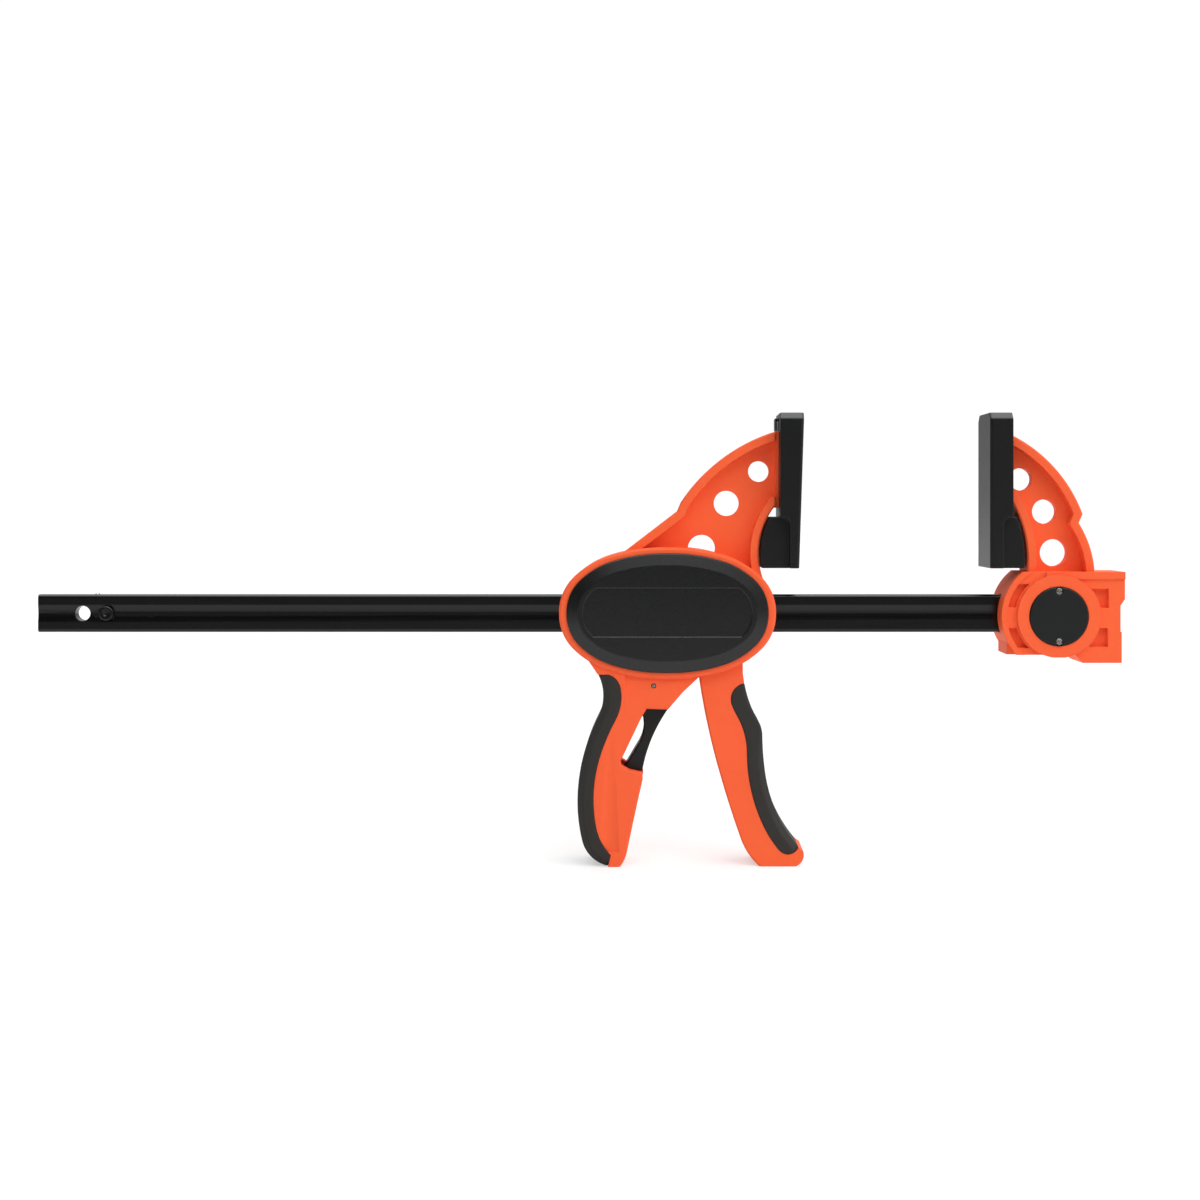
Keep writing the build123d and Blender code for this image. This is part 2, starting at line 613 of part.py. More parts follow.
def make_head_body():
    """One moulding: oval housing, movable jaw arm, handle and the walls beside the lever."""
    rim = oval(OVAL_RIM_A, OVAL_RIM_B, -OVAL_HALF_WIDTH, OVAL_HALF_WIDTH)
    body = chamfered(rim, OVAL_HALF_WIDTH, OVAL_CHAMFER)
    body += webbed_arm(movable_arm_outline, MOVABLE_HOLES)
    plate_top = PAD_HIGH - PAD_OVER_MOVABLE + PAD_PLATE_OVER
    body += even_block(MOVABLE_BACK - PAD_PLATE, MOVABLE_BACK, PAD_PLATE_HALF, PAD_PLATE_LOW, plate_top)
    body += pad_rail(MOVABLE_BACK, 1, 0)
    body += make_handle()
    cutters = mechanism_rooms() + [trigger_room(), bar_room(SLOT_CLEARANCE)]
    cutters += both_sides(web_recess())
    cutters += both_sides(oval(
        COVER_A + SLOT_CLEARANCE, COVER_B + SLOT_CLEARANCE, COVER_SEAT_Y, OVAL_HALF_WIDTH + 1
    ))
    for x in (-PEG_X, PEG_X):
        peg_end = COVER_SEAT_Y - PEG_LENGTH - SEAT_CLEARANCE
        cutters += both_sides(rod(x, OVAL_RISE, PEG_RADIUS + HOLE_CLEARANCE, peg_end, OVAL_HALF_WIDTH))
    cutters.append(rod(LEVER_PIVOT_X, LEVER_PIVOT_Z, LEVER_PIN_RADIUS, -BEYOND, BEYOND))
    cutters.append(rod(TRIGGER_PIVOT_X, TRIGGER_PIVOT_Z, TRIGGER_PIN_RADIUS, -BEYOND, BEYOND))
    pocket_radius = BRAKE_COIL_RADIUS + BRAKE_WIRE / 2 + BORE_CLEARANCE
    pocket_end = Plane(origin=(BRAKE_ROOM_LEFT - BRAKE_SPRING_SINK, 0, BRAKE_SPRING_Z), z_dir=(1, 0, 0))
    cutters.append(Solid.make_cylinder(pocket_radius, BRAKE_SPRING_SINK + 1, pocket_end))
    for cutter in cutters:
        body -= cutter
    return body


def make_handle_grip(head_body):
    """Overmould that wraps the handle's back, rounded over on both sides."""
    back = flow(GRIP_BACK_HEADING, *GRIP_BACK)
    top = path(GRIP_SEAM[0], GRIP_BACK[0])
    blank = even_slab(back + grip_seam() + top, HANDLE_HALF_WIDTH + GRIP_PROUD)
    blank = blank.chamfer(GRIP_CHAMFER, None, edges_along(blank, back))
    return blank - head_body


def make_cover():
    """Oval cover for the +Y side: straight edge, sloping border, plateau with a sunk band."""
    cover = oval(COVER_A, COVER_B, COVER_SEAT_Y, COVER_SIDE_Y)
    plateau_a = COVER_A - COVER_SLOPE_A
    plateau_b = COVER_B - COVER_SLOPE_B
    low = Wire(oval_line(COVER_A, COVER_B, COVER_SIDE_Y))
    high = Wire(oval_line(plateau_a, plateau_b, COVER_TOP_Y))
    cover += Solid.make_loft([low, high], True)
    band = oval(plateau_a - BAND_INSET, plateau_b - BAND_INSET, COVER_TOP_Y - BAND_DEPTH, COVER_TOP_Y + 1)
    cover -= band & even_block(
        -COVER_A, COVER_A, COVER_TOP_Y + 1, OVAL_RISE + BAND_LOW, OVAL_RISE + BAND_HIGH
    )
    for x in (-PEG_X, PEG_X):
        cover += rod(x, OVAL_RISE, PEG_RADIUS, COVER_SEAT_Y - PEG_LENGTH, COVER_SEAT_Y)
    return cover


# ---------------------------------------------------------------- lever
LEVER_FRONT = [at(15.8, -31.8), at(24.1, -72.4), at(36.0, -110.2), at(45.1, -BAR_AXIS_Z)]
LEVER_FRONT_HEADING = -82.2
LEVER_BACK = [at(38.2, -34.8), at(44.9, -52.7), at(46.9, -59.8), at(48.4, -78.9), at(64.2, -114.1)]
LEVER_BACK_HEADING = -79.7
LEVER_SEAM = [
    at(37.9, -34.0), at(31.7, -44.7), at(34.2, -50.0), at(39.1, -68.1), at(47.4, -104.5), at(54.9, -116.0),
    at(64.6, -114.8),
]
LEVER_SEAM_HEADING = -170.3


def lever_widths(extra):
    """Room that the lever's width stays in: narrow between the head's walls, wider in the hand."""
    neck = LEVER_NECK_HALF + extra
    wide = LEVER_GRIP_HALF + extra
    foot = -BAR_AXIS_Z - 1
    outline = Wire.make_polygon([
        (0, -neck, BEYOND), (0, -neck, LEVER_WIDENS_Z), (0, -wide, LEVER_WIDE_Z), (0, -wide, foot),
        (0, wide, foot), (0, wide, LEVER_WIDE_Z), (0, neck, LEVER_WIDENS_Z), (0, neck, BEYOND),
    ])
    return Solid.extrude(Face(outline), Vector(2 * BEYOND, 0, 0))


def lever_nose():
    """Edges of the round nose that meets the drive plates, from its top down."""
    centre = at(PLATES_RIGHT + SEAT_CLEARANCE + NOSE_RADIUS, LEVER_PIVOT_Z - NOSE_DROP)
    spread = Vector(-0.77, 0, 0.64).normalized() * NOSE_RADIUS
    top = centre + spread
    low = centre + Vector(spread.X, 0, -spread.Z)
    return top, low, Edge.make_three_point_arc(top, centre + Vector(-NOSE_RADIUS, 0, 0), low)


def make_squeeze_lever():
    """Lever with a fork over the bar, its pivot above the bar, and a curved grip part."""
    front = flow(LEVER_FRONT_HEADING, *LEVER_FRONT)
    toe = path(LEVER_FRONT[-1], at(62.8, -BAR_AXIS_Z))
    toe.append(Edge.make_three_point_arc(at(62.8, -BAR_AXIS_Z), at(67.0, -119.4), at(66.8, -116.4)))
    toe += path(at(66.8, -116.4), LEVER_SEAM[-1])
    neck_right = LEVER_ROOM_RIGHT - SEAT_CLEARANCE
    boss_right = at(LEVER_PIVOT_X + LEVER_BOSS_RADIUS, LEVER_PIVOT_Z)
    boss_left = at(LEVER_PIVOT_X - LEVER_BOSS_RADIUS, LEVER_PIVOT_Z)
    fork = path(LEVER_SEAM[0], at(neck_right, -29.0), at(neck_right, -23.0), at(32.3, -8.0), boss_right)
    fork.append(Edge.make_tangent_arc(boss_right, Vector(0, 0, 1), boss_left))
    nose_top, nose_low, nose = lever_nose()
    fork += path(boss_left, at(18.1, 2.0), nose_top)
    fork += [nose] + path(nose_low, at(19.6, -19.0), at(17.2, -26.0), LEVER_FRONT[0])
    seam = flow(LEVER_SEAM_HEADING, *LEVER_SEAM)
    shell = even_slab(front + toe + seam + fork, LEVER_GRIP_HALF)

    inward = Vector(-OVERMOULD, 0, 0)
    back = [stop + inward for stop in LEVER_BACK]
    core_edges = flow(LEVER_BACK_HEADING, *back)
    core_edges += path(
        back[-1], at(59.8, -120.0), at(45.8, -114.0), at(33.8, -64.0), at(28.8, -38.0), back[0]
    )
    shell += even_slab(core_edges, LEVER_CORE_HALF)
    shell &= lever_widths(0)
    zones = ((LEVER_WIDENS_Z, 0), (-BAR_AXIS_Z, LEVER_WIDE_Z), (LEVER_WIDE_Z, LEVER_WIDENS_Z))
    for low, high in zones:
        shell = shell.chamfer(LEVER_CHAMFER, None, edges_along(shell, front, low, high))
    fork_gap = BAR_THICKNESS / 2 + FORK_GAP
    shell -= even_block(0, BEYOND, fork_gap, FORK_TOP_Z, BEYOND)
    return shell - rod(LEVER_PIVOT_X, LEVER_PIVOT_Z, LEVER_PIN_RADIUS + HOLE_CLEARANCE, -BEYOND, BEYOND)


def make_lever_grip(lever):
    """Overmould that wraps the lever's back, rounded over on both sides."""
    back = flow(LEVER_BACK_HEADING, *LEVER_BACK)
    ends = path(LEVER_BACK[-1], LEVER_SEAM[-1]) + path(LEVER_SEAM[0], LEVER_BACK[0])
    half_width = LEVER_GRIP_HALF + GRIP_PROUD
    blank = even_slab(back + ends + flow(LEVER_SEAM_HEADING, *LEVER_SEAM), half_width)
    blank = blank.chamfer(GRIP_CHAMFER, None, edges_along(blank, back))
    return (blank & lever_widths(GRIP_PROUD)) - lever


def make_lever_pin():
    """Steel pivot pin, its ends just under the covers."""
    reach = COVER_SEAT_Y - SEAT_CLEARANCE
    return rod(LEVER_PIVOT_X, LEVER_PIVOT_Z, LEVER_PIN_RADIUS, -reach, reach)


# ---------------------------------------------------------------- drive and brake
def slotted_plate(thickness, half_width, z_low, z_high, gap):
    """Upright plate on x = 0 with a slot for the bar, larger than the bar all round by gap."""
    plate = even_block(-thickness / 2, thickness / 2, half_width, z_low, z_high)
    corners = [edge for edge in plate.edges() if edge.bounding_box().size.X > thickness / 2]
    plate = plate.chamfer(PLATE_CORNER, None, corners)
    return plate - bar_room(gap)


def make_drive_plates():
    """Stack of hardened plates that the lever's nose pushes along the bar."""
    plates = []
    for index in range(PLATE_COUNT):
        middle = PLATES_RIGHT - (index + 0.5) * PLATE_THICKNESS
        plate = slotted_plate(PLATE_THICKNESS, PLATE_HALF_WIDTH, -PLATE_BELOW, PLATE_ABOVE, PLATE_GAP)
        plates.append(Location((middle, 0, 0)) * plate)
    return plates


def make_drive_spring():
    """Coil round the bar between the divider and the drive plates."""
    start = DIVIDER_RIGHT + SEAT_CLEARANCE
    length = PLATES_RIGHT - PLATE_COUNT * PLATE_THICKNESS - SEAT_CLEARANCE - start
    return coil(DRIVE_COIL_RADIUS, DRIVE_WIRE, DRIVE_TURNS, length, (start, 0, 0), (1, 0, 0))


def brake_middle(z):
    """Where the tilted brake plate's middle is at a height."""
    return BRAKE_FULCRUM_X + (BRAKE_FULCRUM_Z - z) * math.tan(math.radians(BRAKE_TILT))


def make_brake_plate():
    """Tilted plate; it hangs at its fulcrum and its lower end meets the release trigger."""
    top = BRAKE_FULCRUM_Z + BRAKE_OVER_FULCRUM
    plate = slotted_plate(BRAKE_THICKNESS, BRAKE_HALF_WIDTH, top - BRAKE_LENGTH, top, BRAKE_GAP)
    return Location((brake_middle(0), 0, 0)) * Rotation(0, -BRAKE_TILT, 0) * plate


def make_brake_spring():
    """Small coil between the housing and the lower half of the brake plate."""
    start = BRAKE_ROOM_LEFT - BRAKE_SPRING_SINK
    touch = brake_middle(BRAKE_SPRING_Z) - BRAKE_THICKNESS / 2 - SEAT_CLEARANCE
    origin = (start, 0, BRAKE_SPRING_Z)
    return coil(BRAKE_COIL_RADIUS, BRAKE_WIRE, BRAKE_TURNS, touch - start, origin, (1, 0, 0))


def make_release_trigger():
    """Finger trigger: hub on its pin, a nose against the brake plate, an hourglass blade."""
    brake_foot = BRAKE_FULCRUM_Z + BRAKE_OVER_FULCRUM - BRAKE_LENGTH
    nose_x = brake_middle(brake_foot) + BRAKE_THICKNESS / 2 + SEAT_CLEARANCE
    hub_left = at(TRIGGER_PIVOT_X - TRIGGER_HUB_RADIUS, TRIGGER_PIVOT_Z)
    hub_right = at(TRIGGER_PIVOT_X + TRIGGER_HUB_RADIUS, TRIGGER_PIVOT_Z)
    shoulder = at(-12.3, -50.4)
    tip = at(-12.9, -80.7)
    corner = at(0.2, -47.3)
    blade = flow(-77.3, shoulder, at(-14.5, -64.3), at(-22.3, -77.6)) + path(at(-22.3, -77.6), tip)
    blade += flow(82.6, tip, at(-8.6, -63.8), corner)
    top = path(corner, hub_right)
    top.append(Edge.make_tangent_arc(hub_right, Vector(0, 0, 1), hub_left))
    top += path(hub_left, at(nose_x, brake_foot + 4.0), at(nose_x, brake_foot - 3.5), shoulder)
    trigger = even_slab(blade + top, TRIGGER_HALF_WIDTH)
    trigger = trigger.chamfer(TRIGGER_CHAMFER, None, edges_along(trigger, blade))
    return trigger - rod(
        TRIGGER_PIVOT_X, TRIGGER_PIVOT_Z, TRIGGER_PIN_RADIUS + HOLE_CLEARANCE, -BEYOND, BEYOND
    )


def make_release_pin():
    """Thin pivot pin of the trigger, its ends a little below the sunk web."""
    end = FLANK_HALF_WIDTH - TRIGGER_PIN_SUNK
    return rod(TRIGGER_PIVOT_X, TRIGGER_PIVOT_Z, TRIGGER_PIN_RADIUS, -end, end)


# ---------------------------------------------------------------- far jaw
def lock_disc(radius, y_low, y_high):
    """Cylinder on the button's axis."""
    return rod(0, -LOCK_DROP, radius, y_low, y_high)


def make_housing():
    """Socket for the bar: round front end, square rear end with a foot, collar for the button."""
    overlap = -6.0
    housing = lock_disc(HOUSING_ROUND, -HOUSING_HALF_WIDTH, HOUSING_HALF_WIDTH)
    rim = lock_disc(HOUSING_ROUND, -RIM_HALF_WIDTH, RIM_HALF_WIDTH)
    housing += rim - lock_disc(HOUSING_ROUND - RIM_WIDTH, -RIM_HALF_WIDTH, RIM_HALF_WIDTH)
    housing &= even_block(-HOUSING_ROUND, overlap + 2, OVAL_HALF_WIDTH, HOUSING_LOW, HOUSING_HIGH)
    foot_right = HOUSING_RIGHT - 1.6
    notch = HOUSING_RIGHT - 2.2
    housing += even_slab(path(
        at(overlap, HOUSING_LOW), at(8.5, HOUSING_LOW), at(12.1, HOUSING_FOOT),
        at(foot_right, HOUSING_FOOT),
        at(foot_right, -8.6), at(notch, -8.6), at(notch, 4.4), at(HOUSING_RIGHT, 7.6),
        at(HOUSING_RIGHT, HOUSING_HIGH), at(overlap, HOUSING_HIGH), at(overlap, HOUSING_LOW),
    ), HOUSING_HALF_WIDTH)
    housing += even_block(
        overlap, HOUSING_RIGHT, RIM_HALF_WIDTH, HOUSING_HIGH - LIP_HEIGHT, HOUSING_HIGH
    )
    housing += even_block(-24.8, 0, HOUSING_BACK_HALF, HOUSING_LOW, -7.2)
    collar = lock_disc(RING_RADIUS, -RING_HALF_WIDTH, RING_HALF_WIDTH)
    return housing + (collar & even_block(-BEYOND, BEYOND, BEYOND, HOUSING_LOW - 1.2, BEYOND))


def housing_pockets():
    """Curved slots beside the collar and square pockets behind it, on the +Y side."""
    floor_y = HOUSING_HALF_WIDTH - POCKET_DEPTH
    inner = lock_disc(SLOT_INNER_RADIUS, floor_y, BEYOND)
    annulus = lock_disc(HOUSING_ROUND - RIM_WIDTH, floor_y, BEYOND) - inner
    pockets = []
    for z_low, z_high in ((3.6, 15.0), (-16.4, -6.6)):
        pockets.append(annulus & block(-HOUSING_ROUND, -14.3, floor_y, BEYOND, z_low, z_high))
    for x_low, x_high, z_low, z_high in ((16.1, 24.9, 3.3, 12.7), (12.7, 24.4, -15.9, -6.6)):
        pockets.append(block(x_low, x_high, floor_y, BEYOND, z_low, z_high) - inner)
    return pockets


def make_fixed_jaw():
    """Far jaw: webbed arm on the bar's socket, with the bores of the lock."""
    jaw = webbed_arm(fixed_arm_outline, FIXED_HOLES)
    jaw += make_housing()
    jaw += pad_rail(FIXED_BACK, -1, 0)
    bore = BUTTON_RADIUS + BORE_CLEARANCE
    cutters = [bar_room(SLOT_CLEARANCE)] + both_sides(lock_disc(bore, LOCK_FLOOR_Y, BEYOND))
    for pocket in housing_pockets():
        cutters += both_sides(pocket)
    for z in (-LOCK_DROP - GUIDE_PIN_OFFSET, -LOCK_DROP + GUIDE_PIN_OFFSET):
        cutters.append(rod(0, z, GUIDE_PIN_RADIUS + HOLE_CLEARANCE, -BUTTON_RADIUS, BUTTON_RADIUS))
    cutters.append(rod(0, 0, LOCK_PIN_RADIUS + HOLE_CLEARANCE, 0, BUTTON_RADIUS))
    for cutter in cutters:
        jaw -= cutter
    return jaw


# ---------------------------------------------------------------- jaw lock
def guide_pin_places():
    """Heights of the two guide pins."""
    return [-LOCK_DROP + GUIDE_PIN_OFFSET, -LOCK_DROP - GUIDE_PIN_OFFSET]


def make_lock_button():
    """Cup-shaped button in the front bore, riveted on the two guide pins."""
    end_y = BUTTON_FACE_Y + BUTTON_LENGTH
    button = lock_disc(BUTTON_RADIUS, BUTTON_FACE_Y, end_y)
    button -= lock_disc(BUTTON_RADIUS - BUTTON_SKIRT, BUTTON_FACE_Y + BUTTON_CAP, end_y)
    for z in guide_pin_places():
        button -= rod(0, z, GUIDE_PIN_RADIUS, -BEYOND, BEYOND)
    return button


def make_guide_pins():
    """Two slotted steel pins that pass over and under the bar and join the button to its carrier."""
    high_y = LOCK_FLOOR_Y + SEAT_CLEARANCE + CARRIER_THICKNESS
    slot_end = BUTTON_FACE_Y + GUIDE_SLOT_DEPTH
    half_slot = GUIDE_SLOT_WIDTH / 2
    pins = []
    for z in guide_pin_places():
        slot = block(-BUTTON_RADIUS, BUTTON_RADIUS, BUTTON_FACE_Y, slot_end, z - half_slot, z + half_slot)
        pins.append(rod(0, z, GUIDE_PIN_RADIUS, BUTTON_FACE_Y, high_y) - slot)
    return pins


def make_lock_carrier():
    """Rear disc that holds the lock pin and the guide pins."""
    low_y = LOCK_FLOOR_Y + SEAT_CLEARANCE
    high_y = low_y + CARRIER_THICKNESS
    carrier = lock_disc(BUTTON_RADIUS, low_y, high_y)
    carrier -= rod(0, 0, LOCK_PIN_RADIUS, 0, BEYOND)
    for z in guide_pin_places():
        carrier -= rod(0, z, GUIDE_PIN_RADIUS, 0, BEYOND)
    return carrier


def make_lock_pin():
    """Pin that sits in the bar's lock hole from the rear."""
    return rod(0, 0, LOCK_PIN_RADIUS, LOCK_PIN_TIP_Y, LOCK_FLOOR_Y + SEAT_CLEARANCE + CARRIER_THICKNESS)


def make_lock_spring():
    """Coil inside the button that pushes it out."""
    start = BUTTON_FACE_Y + BUTTON_CAP + SEAT_CLEARANCE / 2
    length = -LOCK_FLOOR_Y - SEAT_CLEARANCE / 2 - start
    return coil(LOCK_COIL_RADIUS, LOCK_WIRE, LOCK_TURNS, length, (0, start, -LOCK_DROP), (0, 1, 0))


# ---------------------------------------------------------------- write the sub-parts
save(make_bar(), "bar")
save(make_stop_pin(), "stop_pin")

head_body = make_head_body()
squeeze_lever = make_squeeze_lever()
cover = make_cover()
head_group = {
    "head_body": head_body,
    "handle_grip": make_handle_grip(head_body),
    "front_cover": cover.mirror(Plane.XZ),
    "rear_cover": cover,
    "movable_pad": make_movable_pad(),
    "lever_pin": make_lever_pin(),
    "release_pin": make_release_pin(),
    "squeeze_lever": squeeze_lever,
    "lever_grip": make_lever_grip(squeeze_lever),
    "drive_spring": make_drive_spring(),
    "brake_plate": make_brake_plate(),
    "brake_spring": make_brake_spring(),
    "release_trigger": make_release_trigger(),
}
for number, plate in enumerate(make_drive_plates(), start=1):
    head_group["drive_plate_" + str(number)] = plate
for node, solid in head_group.items():
    save(solid, node, HEAD_X)

upper_pin, lower_pin = make_guide_pins()
lock_group = {
    "fixed_jaw": make_fixed_jaw(),
    "fixed_pad": make_fixed_pad(),
    "lock_button": make_lock_button(),
    "lock_guide_pin_upper": upper_pin,
    "lock_guide_pin_lower": lower_pin,
    "lock_carrier": make_lock_carrier(),
    "lock_pin": make_lock_pin(),
    "lock_spring": make_lock_spring(),
}
for node, solid in lock_group.items():
    save(solid, node, LOCK_X)
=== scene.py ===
import json
import math

import bmesh
import bpy
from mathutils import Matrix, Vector


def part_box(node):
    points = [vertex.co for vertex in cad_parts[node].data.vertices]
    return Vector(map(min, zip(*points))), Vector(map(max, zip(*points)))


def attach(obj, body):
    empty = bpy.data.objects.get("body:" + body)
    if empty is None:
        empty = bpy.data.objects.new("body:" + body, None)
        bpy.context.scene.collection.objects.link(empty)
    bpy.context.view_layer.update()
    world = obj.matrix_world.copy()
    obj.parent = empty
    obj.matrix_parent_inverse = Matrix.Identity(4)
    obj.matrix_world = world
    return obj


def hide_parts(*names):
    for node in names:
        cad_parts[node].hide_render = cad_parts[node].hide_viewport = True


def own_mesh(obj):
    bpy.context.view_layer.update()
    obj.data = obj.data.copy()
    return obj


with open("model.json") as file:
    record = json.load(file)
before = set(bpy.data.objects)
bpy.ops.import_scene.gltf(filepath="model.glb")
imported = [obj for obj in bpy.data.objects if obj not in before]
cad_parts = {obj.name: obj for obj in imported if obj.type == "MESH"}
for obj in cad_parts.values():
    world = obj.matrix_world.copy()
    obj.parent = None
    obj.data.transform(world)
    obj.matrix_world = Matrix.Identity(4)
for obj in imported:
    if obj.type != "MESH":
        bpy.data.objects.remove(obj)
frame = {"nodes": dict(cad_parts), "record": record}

bl_info = {
    "name": "Trigger bar clamp",
    "version": (1, 0, 0),
    "blender": (4, 5, 0),
    "location": "View3D > Sidebar > Clamp",
    "description": "Softened parts, moulded and steel finishes and a plain studio for a trigger bar clamp",
    "category": "Object",
}

BODY_OF_NODE = {
    node: body for body, nodes in frame["record"]["behaviour"]["bodies"].items() for node in nodes
}
MM = 0.001
JOIN_REACH = 2e-6                  # split corners of a CAD mesh lie closer together than this
SHARP_TURN = math.radians(24)      # edges that turn by more than this are rounded
SHARE_OF_CROSSING = 0.45           # of a crossing edge's length that a rounding may take
ALONG_COSINE = 0.87                # edges more in line than this run on and don't cross
SMOOTH_ANGLE = 32                  # degrees; edges that turn by less are shaded smooth
BAR_SMOOTH_ANGLE = 10              # the bar's groove edges are shallow and stay sharp


# ---------------------------------------------------------------- sizes and colours
def length(name, description, default):
    """Length property, stored in metres."""
    return bpy.props.FloatProperty(
        name=name, description=description, default=default, min=0.0, unit="LENGTH", precision=5
    )


def colour(name, description, default):
    """Colour property."""
    return bpy.props.FloatVectorProperty(
        name=name, description=description, default=default, subtype="COLOR", size=3, min=0.0, max=1.0
    )


def share(name, description, default, low=0.0, high=1.0):
    """Plain factor property."""
    return bpy.props.FloatProperty(
        name=name, description=description, default=default, min=low, max=high, subtype="FACTOR"
    )


class ClampEdges(bpy.types.PropertyGroup):
    """How far the edges of each kind of part are rounded."""
    moulding: length("Mouldings", "Edge rounding of the orange and black mouldings", 0.0004)
    cover: length("Covers", "Edge rounding of the oval covers", 0.0006)
    overmould: length("Overmoulds", "Edge rounding of the soft overmoulds", 0.0006)
    overmould_cell: length("Overmould cells", "Cell size of the overmoulds' even mesh", 0.0005)
    pad: length("Pads", "Edge rounding of the clamping pads", 0.0005)
    button: length("Button", "Edge rounding of the lock button", 0.0005)
    bar: length("Bar", "Edge rounding of the bar's long edges", 0.0003)
    steel: length("Steel", "Edge rounding of the plates and the bar's ends", 0.0002)
    pin: length("Pins", "Edge rounding of the pins' ends", 0.0004)


class ClampColours(bpy.types.PropertyGroup):
    """Colours of the finishes."""
    orange: colour("Orange nylon", "Moulded jaws, handle and lever", (0.845, 0.1135, 0.037))
    bounce: colour("Orange bounce", "Tint that the orange throws on what is near", (1.0, 0.30, 0.20))
    black: colour("Black nylon", "Trigger and lock button", (0.007, 0.0078, 0.0078))
    cover: colour("Cover nylon", "Oval covers", (0.0035, 0.0038, 0.0038))
    rubber: colour("Grip rubber", "Soft overmoulds", (0.0245, 0.0226, 0.0202))
    pad: colour("Pad rubber", "Clamping pads", (0.0046, 0.0047, 0.0048))
    oxide: colour("Black oxide", "Bar and stop pin", (0.0018, 0.0018, 0.002))
    steel: colour("Bare steel", "Plates", (0.42, 0.41, 0.39))
    pin: colour("Turned steel", "Pins", (0.27, 0.25, 0.23))
    zinc: colour("Zinc plating", "Springs", (0.62, 0.63, 0.65))


class ClampStudio(bpy.types.PropertyGroup):
    """Camera, floor and light."""
    distance: length("Camera distance", "From the middle of the clamp's thickness", 0.850)
    view_width: length("View width", "Width seen at the clamp", 0.600)
    eye_x: bpy.props.FloatProperty(
        name="Camera X", description="Camera's place along the bar", default=0.0405, unit="LENGTH"
    )
    eye_height: length("Camera height", "Over the floor", 0.1745)
    centre_x: bpy.props.FloatProperty(
        name="View centre X", description="Middle of the view along the bar", default=0.0105, unit="LENGTH"
    )
    centre_height: length("View centre height", "Middle of the view over the floor", 0.1305)
    floor_tone: share("Floor tone", "Lightness of the floor round the clamp", 0.93)
    far_floor_tone: share("Far floor tone", "Lightness of the floor far away", 0.97)
    floor_shade: share("Floor shade", "Part of the floor's seen lightness that shadows darken", 0.54)
    floor_glow: share("Floor glow", "Even part of the floor's seen lightness", 0.48)
    back_light: bpy.props.FloatProperty(
        name="Back light", description="Brightness of the room behind", default=1.04, min=0.0
    )
    ceiling_light: bpy.props.FloatProperty(
        name="Ceiling light", description="Brightness of the room above", default=1.45, min=0.0
    )
    zenith_gloss: bpy.props.FloatProperty(
        name="Zenith gloss", description="Extra brightness straight above, seen in reflections",
        default=4.0, min=0.0
    )
    front_light: bpy.props.FloatProperty(
        name="Front light", description="Brightness of the room in front", default=0.05, min=0.0
    )


# ---------------------------------------------------------------- shader node helpers
def link(tree, source, target):
    """Join two sockets."""
    tree.links.new(source, target)


def add(tree, kind, **settings):
    """New node with its settings."""
    node = tree.nodes.new(kind)
    for name, value in settings.items():
        setattr(node, name, value)
    return node


def maths(tree, operation, first, second=None, clamp=False):
    """Math node; first and second are sockets or numbers."""
    node = add(tree, "ShaderNodeMath", operation=operation, use_clamp=clamp)
    for socket, value in zip(node.inputs, (first, second)):
        if isinstance(value, bpy.types.NodeSocket):
            link(tree, value, socket)
        elif value is not None:
            socket.default_value = value
    return node.outputs[0]


def remap(tree, value, low, high, new_low=0.0, new_high=1.0):
    """Map a range of a value to another range, clamped."""
    node = add(tree, "ShaderNodeMapRange", clamp=True)
    link(tree, value, node.inputs["Value"])
    for name, number in (("From Min", low), ("From Max", high), ("To Min", new_low), ("To Max", new_high)):
        if isinstance(number, bpy.types.NodeSocket):
            link(tree, number, node.inputs[name])
        else:
            node.inputs[name].default_value = number
    return node.outputs["Result"]


def blend_colour(tree, factor, first, second):
    """Mix two colours; each is a socket or a colour."""
    node = add(tree, "ShaderNodeMix", data_type="RGBA")
    for socket, value in ((node.inputs[0], factor), (node.inputs[6], first), (node.inputs[7], second)):
        if isinstance(value, bpy.types.NodeSocket):
            link(tree, value, socket)
        elif socket.type == "RGBA":
            socket.default_value = (*value, 1.0)
        else:
            socket.default_value = value
    return node.outputs[2]


def choose(tree, factor, first, second):
    """Mix two values; each is a socket or a number."""
    node = add(tree, "ShaderNodeMix", data_type="FLOAT")
    for socket, value in ((node.inputs[0], factor), (node.inputs[2], first), (node.inputs[3], second)):
        if isinstance(value, bpy.types.NodeSocket):
            link(tree, value, socket)
        else:
            socket.default_value = value
    return node.outputs[0]


def new_group(name, inputs, outputs):
    """Empty shader node group with its sockets; returns the tree, its input node and its output node."""
    tree = bpy.data.node_groups.new(name, "ShaderNodeTree")
    for socket_name, kind, default in inputs:
        socket = tree.interface.new_socket(socket_name, in_out="INPUT", socket_type=kind)
        socket.default_value = default
    for socket_name, kind in outputs:
        tree.interface.new_socket(socket_name, in_out="OUTPUT", socket_type=kind)
    return tree, tree.nodes.new("NodeGroupInput"), tree.nodes.new("NodeGroupOutput")


def noise(tree, scale, detail=2.0, roughness=0.5, stretch=None):
    """Noise over the part's own coordinates; stretch scales the three axes."""
    place = add(tree, "ShaderNodeTexCoord").outputs["Object"]
    if stretch is not None:
        mapping = add(tree, "ShaderNodeMapping")
        mapping.inputs["Scale"].default_value = stretch
        link(tree, place, mapping.inputs["Vector"])
        place = mapping.outputs["Vector"]
    texture = add(tree, "ShaderNodeTexNoise")
    texture.inputs["Detail"].default_value = detail
    texture.inputs["Roughness"].default_value = roughness
    link(tree, place, texture.inputs["Vector"])
    if isinstance(scale, bpy.types.NodeSocket):
        link(tree, scale, texture.inputs["Scale"])
    else:
        texture.inputs["Scale"].default_value = scale
    return texture.outputs["Fac"]


